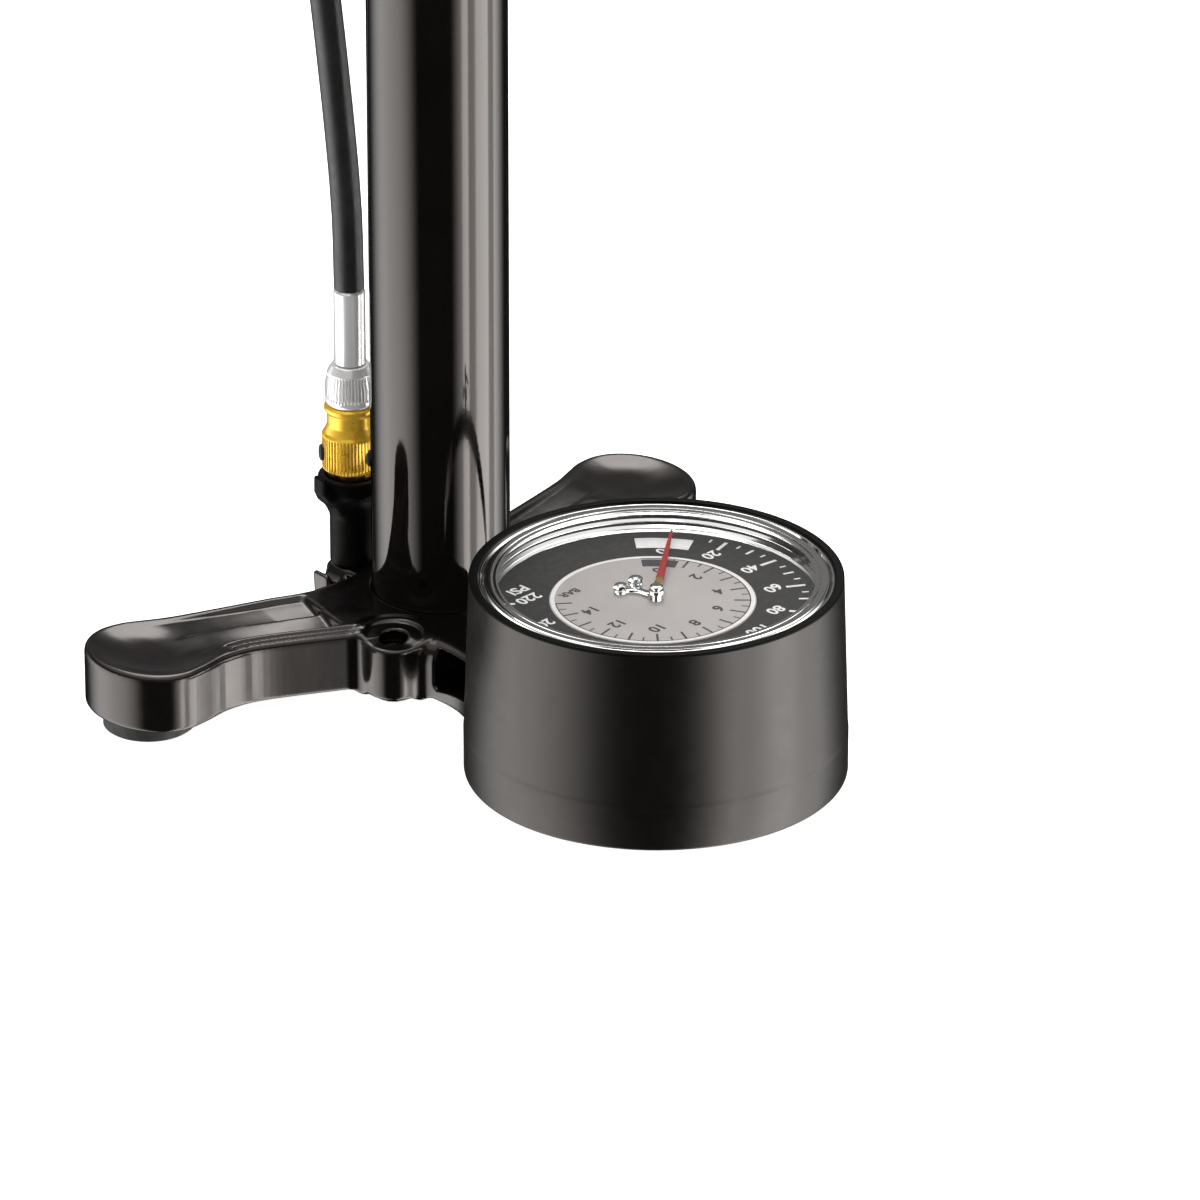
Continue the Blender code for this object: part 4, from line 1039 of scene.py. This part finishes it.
def hook(p):
    x, y, z = np.abs(p[:, 0]), p[:, 1], p[:, 2]
    r = np.hypot(x, y)
    d = smax(np.abs(r - 24.1) - 1.3, np.abs(z - 530.0) - 7.0, 1.0)
    arm = rounded_box(np.stack([x, y, z], 1), (-6.0, 24.0, 523.6), (6.0, 36.0, 534.0), 1.6)
    saddle = rounded_box(np.stack([x, y, z], 1), (-9.0, 29.4, 524.4), (9.0, 42.6, 541.0), 1.4)
    d = smin(d, arm, 3.0)
    d = smin(d, saddle, 2.0)
    groove = smax(np.abs(y - ARCH_Y) - 4.65, 33.0 - np.hypot(x, z - ARCH_Z), 0.6)
    d = smax(d, -groove, 0.8)
    return smax(d, 22.8 - r, 0.3)


v, f = net(hook, (-27.0, -27.0, 522.0), (27.0, 44.0, 542.5), 0.6)
place("hose_clip", v, f, PLASTIC, nodes=("hose_hook",), sharp=None, weld=False)

# ---------------------------------------------------------------- plunger and handle

turned("polished_rod", [(4.4, 584.0), (6.0, 584.0), (6.0, 44.0), (4.0, 44.0), (4.0, 22.0), (2.2, 22.0), (2.2, 45.0), (4.4, 48.0)], ROD, seg=96, radius=0.2, body="plunger", nodes=("piston_rod",), slot="chrome")
bumper = [(6.3, 566.0), (10.4, 566.0, 0.6), (11.0, 565.2, 0.4), (11.0, 562.9, 0.2), (10.5, 562.5, 0.2), (10.5, 561.5, 0.2), (11.0, 561.1, 0.2), (11.0, 558.4, 0.6), (10.2, 557.5, 0.4), (6.3, 557.5)]
turned("rubber_bumper", bumper, RUBBER, seg=96, radius=0.2, body="plunger", nodes=("rod_bumper",), slot="rubber")


def yoke(p):
    x, y, z = np.abs(p[:, 0]), p[:, 1], p[:, 2]
    r = np.hypot(p[:, 0], y)
    neck = smax(smax(r - (10.5 + 1.3 * smooth_step(580.0, 571.0, z)), z - 600.0, 0.5), 566.4 - z, 1.0)
    q = np.hypot(y, z - BAR_Z)
    cross = smax(q - (15.2 - 0.9 * smooth_step(9.0, 21.0, x)), x - 21.0, 2.0)
    d = smin(neck, cross, 6.0)
    ring = np.abs(x - 16.4) - 0.5
    d = smax(d, -smax(ring, 14.2 - q, 0.2), 0.5)
    d = smax(d, -(q - 5.3), 0.4)
    d = smax(d, -smax(r - 6.3, z - 585.0, 0.2), 0.4)
    return smax(d, -(np.hypot(p[:, 0], z - 574.0) - 1.9), 0.4)


v, f = net(yoke, (-22.5, -17.0, 565.0), (22.5, 17.0, 611.0), 0.6)
place("handle_yoke", v, f, CAP_SATIN, "plunger", ("handle_hub",), sharp=None, weld=False)
grip = [(11.6, 118.0), (13.6, 116.0), (14.6, 108.0), (14.2, 98.0), (15.2, 84.0), (16.0, 68.0), (15.6, 52.0), (14.2, 38.0), (13.6, 30.0), (14.2, 24.0), (13.4, 21.4)]
curved = [(p.x, p.y) for p in smooth_path([(r, z, 0.0) for r, z in grip], 1.5)]
for side, axis in (("left", "-x"), ("right", "x")):
    profile = [(5.3, 118.0)] + curved + [(5.3, 21.4)]
    turned("turned_grip_" + side, profile, WOOD, seg=96, radius=0.4, at=(0.0, 0.0, BAR_Z), body="plunger", nodes=("grip_" + side,), slot="grip_wood", axis=axis, steps=2)
    end = [(0.0, 125.0), (6.0, 125.0, 1.0), (9.8, 123.2, 2.0), (11.4, 120.6, 1.2), (11.4, 118.3, 0.3), (5.3, 118.3, 0.1), (5.3, 121.3, 0.1), (0.0, 121.3)]
    turned("grip_cap_" + side, end, ALUMINIUM, seg=96, radius=0.3, closed=False, at=(0.0, 0.0, BAR_Z), body="plunger", nodes=("grip_end_" + side,), slot="silver_aluminium", axis=axis)
turned("pin_through_hub", [(0.0, 11.4), (1.6, 11.4), (1.6, -11.4), (0.0, -11.4)], STEEL, seg=32, radius=0.3, closed=False, at=(0.0, 0.0, 574.0), body="plunger", nodes=("roll_pin",), slot="steel", axis="y")

# ---------------------------------------------------------------- hose ends and chuck

nut = [(0.0, 33.8), (4.4, 33.8, 0.3), (4.4, 28.8, 0.2), (6.2, 28.8, 0.5), (6.2, 22.9, 0.5), (3.2, 22.9, 0.2), (3.2, 12.4, 0.3), (0.0, 12.4)]


def six_sided(ang, r, z):
    flat = 5.45 / np.cos((ang + math.pi / 6) % (math.pi / 3) - math.pi / 6)
    return np.where(r > 5.5, np.minimum(flat, r) - r, 0.0)


turned("hose_nipple_nut", nut, BRASS, seg=96, radius=0.2, closed=False, mod=six_sided, at=(22.0, 16.0, 0.0), nodes=("hose_nipple",), slot="brass")
ferrule = [(0.0, 52.0), (4.6, 52.0, 0.3), (5.4, 51.2, 0.3), (5.4, 47.0, 0.2), (5.15, 46.6, 0.2), (5.15, 45.8, 0.2), (5.4, 45.4, 0.2), (5.4, 40.6, 0.2), (5.15, 40.2, 0.2), (5.15, 39.4, 0.2), (5.4, 39.0, 0.2), (5.4, 34.1, 0.3), (0.0, 34.1)]
turned("hose_ferrule_base", ferrule, ALUMINIUM, seg=72, radius=0.2, closed=False, at=(22.0, 16.0, 0.0), nodes=("base_ferrule",), slot="silver_aluminium")

C = (0.0, CHUCK_Y, 0.0)
ferrule = [(0.0, 98.0), (3.9, 98.0, 0.3), (4.4, 97.2, 0.4), (4.4, 76.0, 0.2), (0.0, 76.0)]
sleeve = turned("hose_ferrule_chuck", ferrule, SILVER, seg=72, radius=0.2, closed=False, at=C, nodes=("chuck_ferrule",), slot="silver_aluminium")
collar = fillet([(0.0, 75.7), (5.2, 75.7, 0.35), (6.4, 73.5, 0.5), (7.2, 69.6, 1.2), (7.2, 65.0, 0.4), (6.8, 64.2, 0.3), (0.0, 64.2)], 0.3, closed=False)
v, f = lathe(dense(collar, 64.0, 74.0, 0.3), 46 * 12, closed=False, mod=knurl(46, 0.7, 66.3, 72.9, 0.4, 5.5))
ring = place("chuck_knurled_collar", v + np.array(C), f, SILVER, nodes=("chuck_collar",), sharp=40.0)
body = fillet(
    [(0.0, 63.8), (6.8, 63.8, 0.3), (7.4, 63.2, 0.4), (7.4, 62.2, 0.4), (6.7, 61.3, 0.5), (6.6, 57.8, 1.2), (7.5, 55.7, 1.0), (8.1, 54.9, 0.5), (8.1, 44.9, 0.4), (7.6, 44.5, 0.2), (5.0, 44.5, 0.1), (5.0, 53.6, 0.1), (0.0, 53.6)],
    0.3,
    closed=False,
)
v, f = lathe(dense(body, 44.0, 56.0, 0.3), 50 * 12, closed=False, mod=knurl(50, 0.75, 45.5, 54.5, 0.4, 7.0))
place("chuck_gold_body", v + np.array(C), f, GOLD, "chuck_head", ("chuck_body",), sharp=40.0)
# The mouth lip is coloured darker than the gold body: partly its own tone, partly painted shade of the dock cup around
# it.
lip = [(4.5, 44.4, 0.1), (6.7, 44.4, 0.2), (6.6, 40.6, 0.3), (6.2, 38.5, 0.4), (4.5, 38.5, 0.2)]
turned("chuck_mouth_lip", lip, LIP_BROWN_AND_SHADE, seg=96, at=C, body="chuck_head", slot="brass")
for tag, deg in (("a", 152.5), ("b", 272.5), ("c", 32.5)):
    a = math.radians(deg)
    v, f = lathe(fillet([(0.0, 9.1), (1.2, 9.05), (1.8, 8.8), (2.0, 8.4), (2.0, 7.6), (0.0, 7.6)], 0.3, closed=False), 40, closed=False)
    out = np.array([math.cos(a), math.sin(a), 0.0])
    side = np.array([-math.sin(a), math.cos(a), 0.0])
    v = v[:, 2:3] * out + v[:, 0:1] * side * 0.8 + v[:, 1:2] * np.array([0.0, 0.0, 1.25])
    place("chuck_grip_dot_" + tag, v + np.array([0.0, CHUCK_Y, 49.6]), f, RUBBER, "chuck_head", ("chuck_dot_" + tag,))

# ---------------------------------------------------------------- carried-over nodes

KEEP = {
    "valve_cover": BOLT,
    "check_valve_poppet": BRASS,
    "dock_screw_front": STEEL,
    "dock_screw_rear": STEEL,
    "needle_shaft": STEEL,
    "rod_bushing": BRASS,
    "piston_head": PLASTIC,
    "piston_cup": RUBBER,
    "piston_nut": STEEL,
    "handle_bar": STEEL,
    "chuck_gasket": RUBBER,
}
for name, mat in KEEP.items():
    obj = NODES[name]
    obj.data.materials.clear()
    obj.data.materials.append(mat)

# ---------------------------------------------------------------- floor, lights and sky

floor_mesh = bpy.data.meshes.new("studio_floor")
floor_mesh.from_pydata([(-40.0, -40.0, 0.0), (40.0, -40.0, 0.0), (40.0, 40.0, 0.0), (-40.0, 40.0, 0.0)], [], [(0, 1, 2, 3)])
floor = bpy.data.objects.new("studio_floor", floor_mesh)
scene.collection.objects.link(floor)
k = Mat("studio_floor", Specular_IOR_Level=0.2, Emission_Color=(1.0, 1.0, 1.0), Emission_Strength=0.95)
k.colour(k.noise(3.0), (0.3, (0.86, 0.86, 0.86)), (0.7, (0.88, 0.88, 0.88)))
k.rough(k.noise(8.0), 0.6, 0.7)
floor_mesh.materials.append(k.m)
floor.visible_glossy = False


SKY_LEFT, SKY_RIGHT, SKY_OVER, SKY_DOME, SKY_BOX = 3.3, 6.2, 0.8, 0.15, 4.5


def softbox(name, at, aim, width, height, power, spread=180.0):
    data = bpy.data.lights.new(name, "AREA")
    data.shape = "RECTANGLE"
    data.size = width
    data.size_y = height
    data.energy = power
    data.spread = math.radians(spread)
    obj = bpy.data.objects.new(name, data)
    scene.collection.objects.link(obj)
    at, aim = Vector(at), Vector(aim)
    obj.location = at
    obj.rotation_euler = (aim - at).to_track_quat("-Z", "Y").to_euler()
    return obj


world = bpy.data.worlds.new("studio_sky")
world.use_nodes = True
scene.world = world
W = world.node_tree
sky = W.nodes["Background"]


def sky_math(kind, a, b=None):
    n = W.nodes.new("ShaderNodeMath")
    n.operation = kind
    for socket, value in zip(n.inputs, (a, b)):
        if value is None:
            continue
        if isinstance(value, (int, float)):
            socket.default_value = value
        else:
            W.links.new(value, socket)
    return n.outputs[0]


def sky_dot(vector):
    n = W.nodes.new("ShaderNodeVectorMath")
    n.operation = "DOT_PRODUCT"
    W.links.new(direction, n.inputs[0])
    n.inputs[1].default_value = vector
    return n.outputs["Value"]


def sky_step(value, start, end):
    n = W.nodes.new("ShaderNodeMapRange")
    n.interpolation_type = "SMOOTHSTEP"
    n.inputs["From Min"].default_value = start
    n.inputs["From Max"].default_value = end
    W.links.new(value, n.inputs["Value"])
    return n.outputs["Result"]


# A soft bank of light on each side that reaches below the table line and fades towards the back, a pale dome that brightens overhead, and a softbox high at the back.
direction = W.nodes.new("ShaderNodeTexCoord").outputs["Generated"]
height = sky_dot((0.0, 0.0, 1.0))
level = sky_math("SQRT", sky_math("MAXIMUM", sky_math("SUBTRACT", 1.0, sky_math("MULTIPLY", height, height)), 0.01))
side = sky_math("DIVIDE", sky_dot(tuple(RIGHT)), level)
front = sky_math("DIVIDE", sky_dot((math.sin(AZ), -math.cos(AZ), 0.0)), level)
left_bank = sky_math("MULTIPLY", sky_step(sky_math("MULTIPLY", side, -1.0), 0.50, 1.02), SKY_LEFT)
right_bank = sky_math("MULTIPLY", sky_step(side, 0.36, 1.0), SKY_RIGHT)
fade = sky_step(front, -0.98, -0.10)
low = sky_step(height, 0.22, 0.02)
gap = sky_math("MULTIPLY", sky_step(front, 0.36, 0.46), sky_step(front, 0.66, 0.56))
split = sky_math("MULTIPLY", sky_step(front, -0.30, -0.22), sky_step(front, 0.0, -0.08))
comb = sky_math("SUBTRACT", 1.0, sky_math("ADD", sky_math("MULTIPLY", gap, 0.55), sky_math("MULTIPLY", split, 0.6)))
strip = sky_math("MULTIPLY", sky_math("MULTIPLY", sky_step(front, 0.59, 0.63), sky_step(front, 0.77, 0.73)), sky_step(side, 0.0, 0.2))
right_bank = sky_math("ADD", sky_math("MULTIPLY", right_bank, comb), sky_math("MULTIPLY", strip, 2.4))
both = sky_math("ADD", sky_math("MULTIPLY", left_bank, fade), sky_math("MULTIPLY", right_bank, sky_step(front, -0.80, 0.05)))
banks = sky_math("MULTIPLY", sky_math("ADD", both, 0.02), low)
high = sky_math("MULTIPLY", sky_step(height, -0.02, 0.12), SKY_DOME)
over = sky_math("MULTIPLY", sky_step(height, 0.46, 0.76), SKY_OVER)
aim = sky_dot((-math.sin(AZ) * 0.545, math.cos(AZ) * 0.545, 0.839))
box = sky_math("MULTIPLY", sky_step(aim, 0.94, 0.975), SKY_BOX)
W.links.new(sky_math("ADD", banks, sky_math("ADD", box, sky_math("ADD", high, over))), sky.inputs["Strength"])
sky.inputs["Color"].default_value = (1.0, 0.985, 0.975, 1.0)
softbox("top_light", (0.0, 0.2, 1.6), (0.0, 0.0, 0.05), 1.2, 1.2, 8.0)

scene.view_settings.view_transform = "Standard"
scene.view_settings.look = "None"
scene.view_settings.exposure = 0.0
scene.view_settings.gamma = 1.0

for name in ("gauge_housing", "gauge_bezel", "gauge_glass", "dial_face", "dial_centre", "dial_print_light", "dial_print_dark", "dial_centre_border", "needle_blade", "chuck_gold_body", "chuck_mouth_lip", "gauge_tray_rim", "rubber_foot_gauge", "gauge_movement_plate", "gauge_can_rim", "cast_gauge_tray", "bezel_shade_ring_a", "bezel_shade_ring_b", "bezel_shade_ring_c", "bezel_shade_ring_d", "bezel_lip_a", "bezel_lip_b", "dial_bushing", "movement_stem", "movement_stem_nut", "movement_coil", "movement_air_tube"):
    bpy.data.objects[name].visible_glossy = False
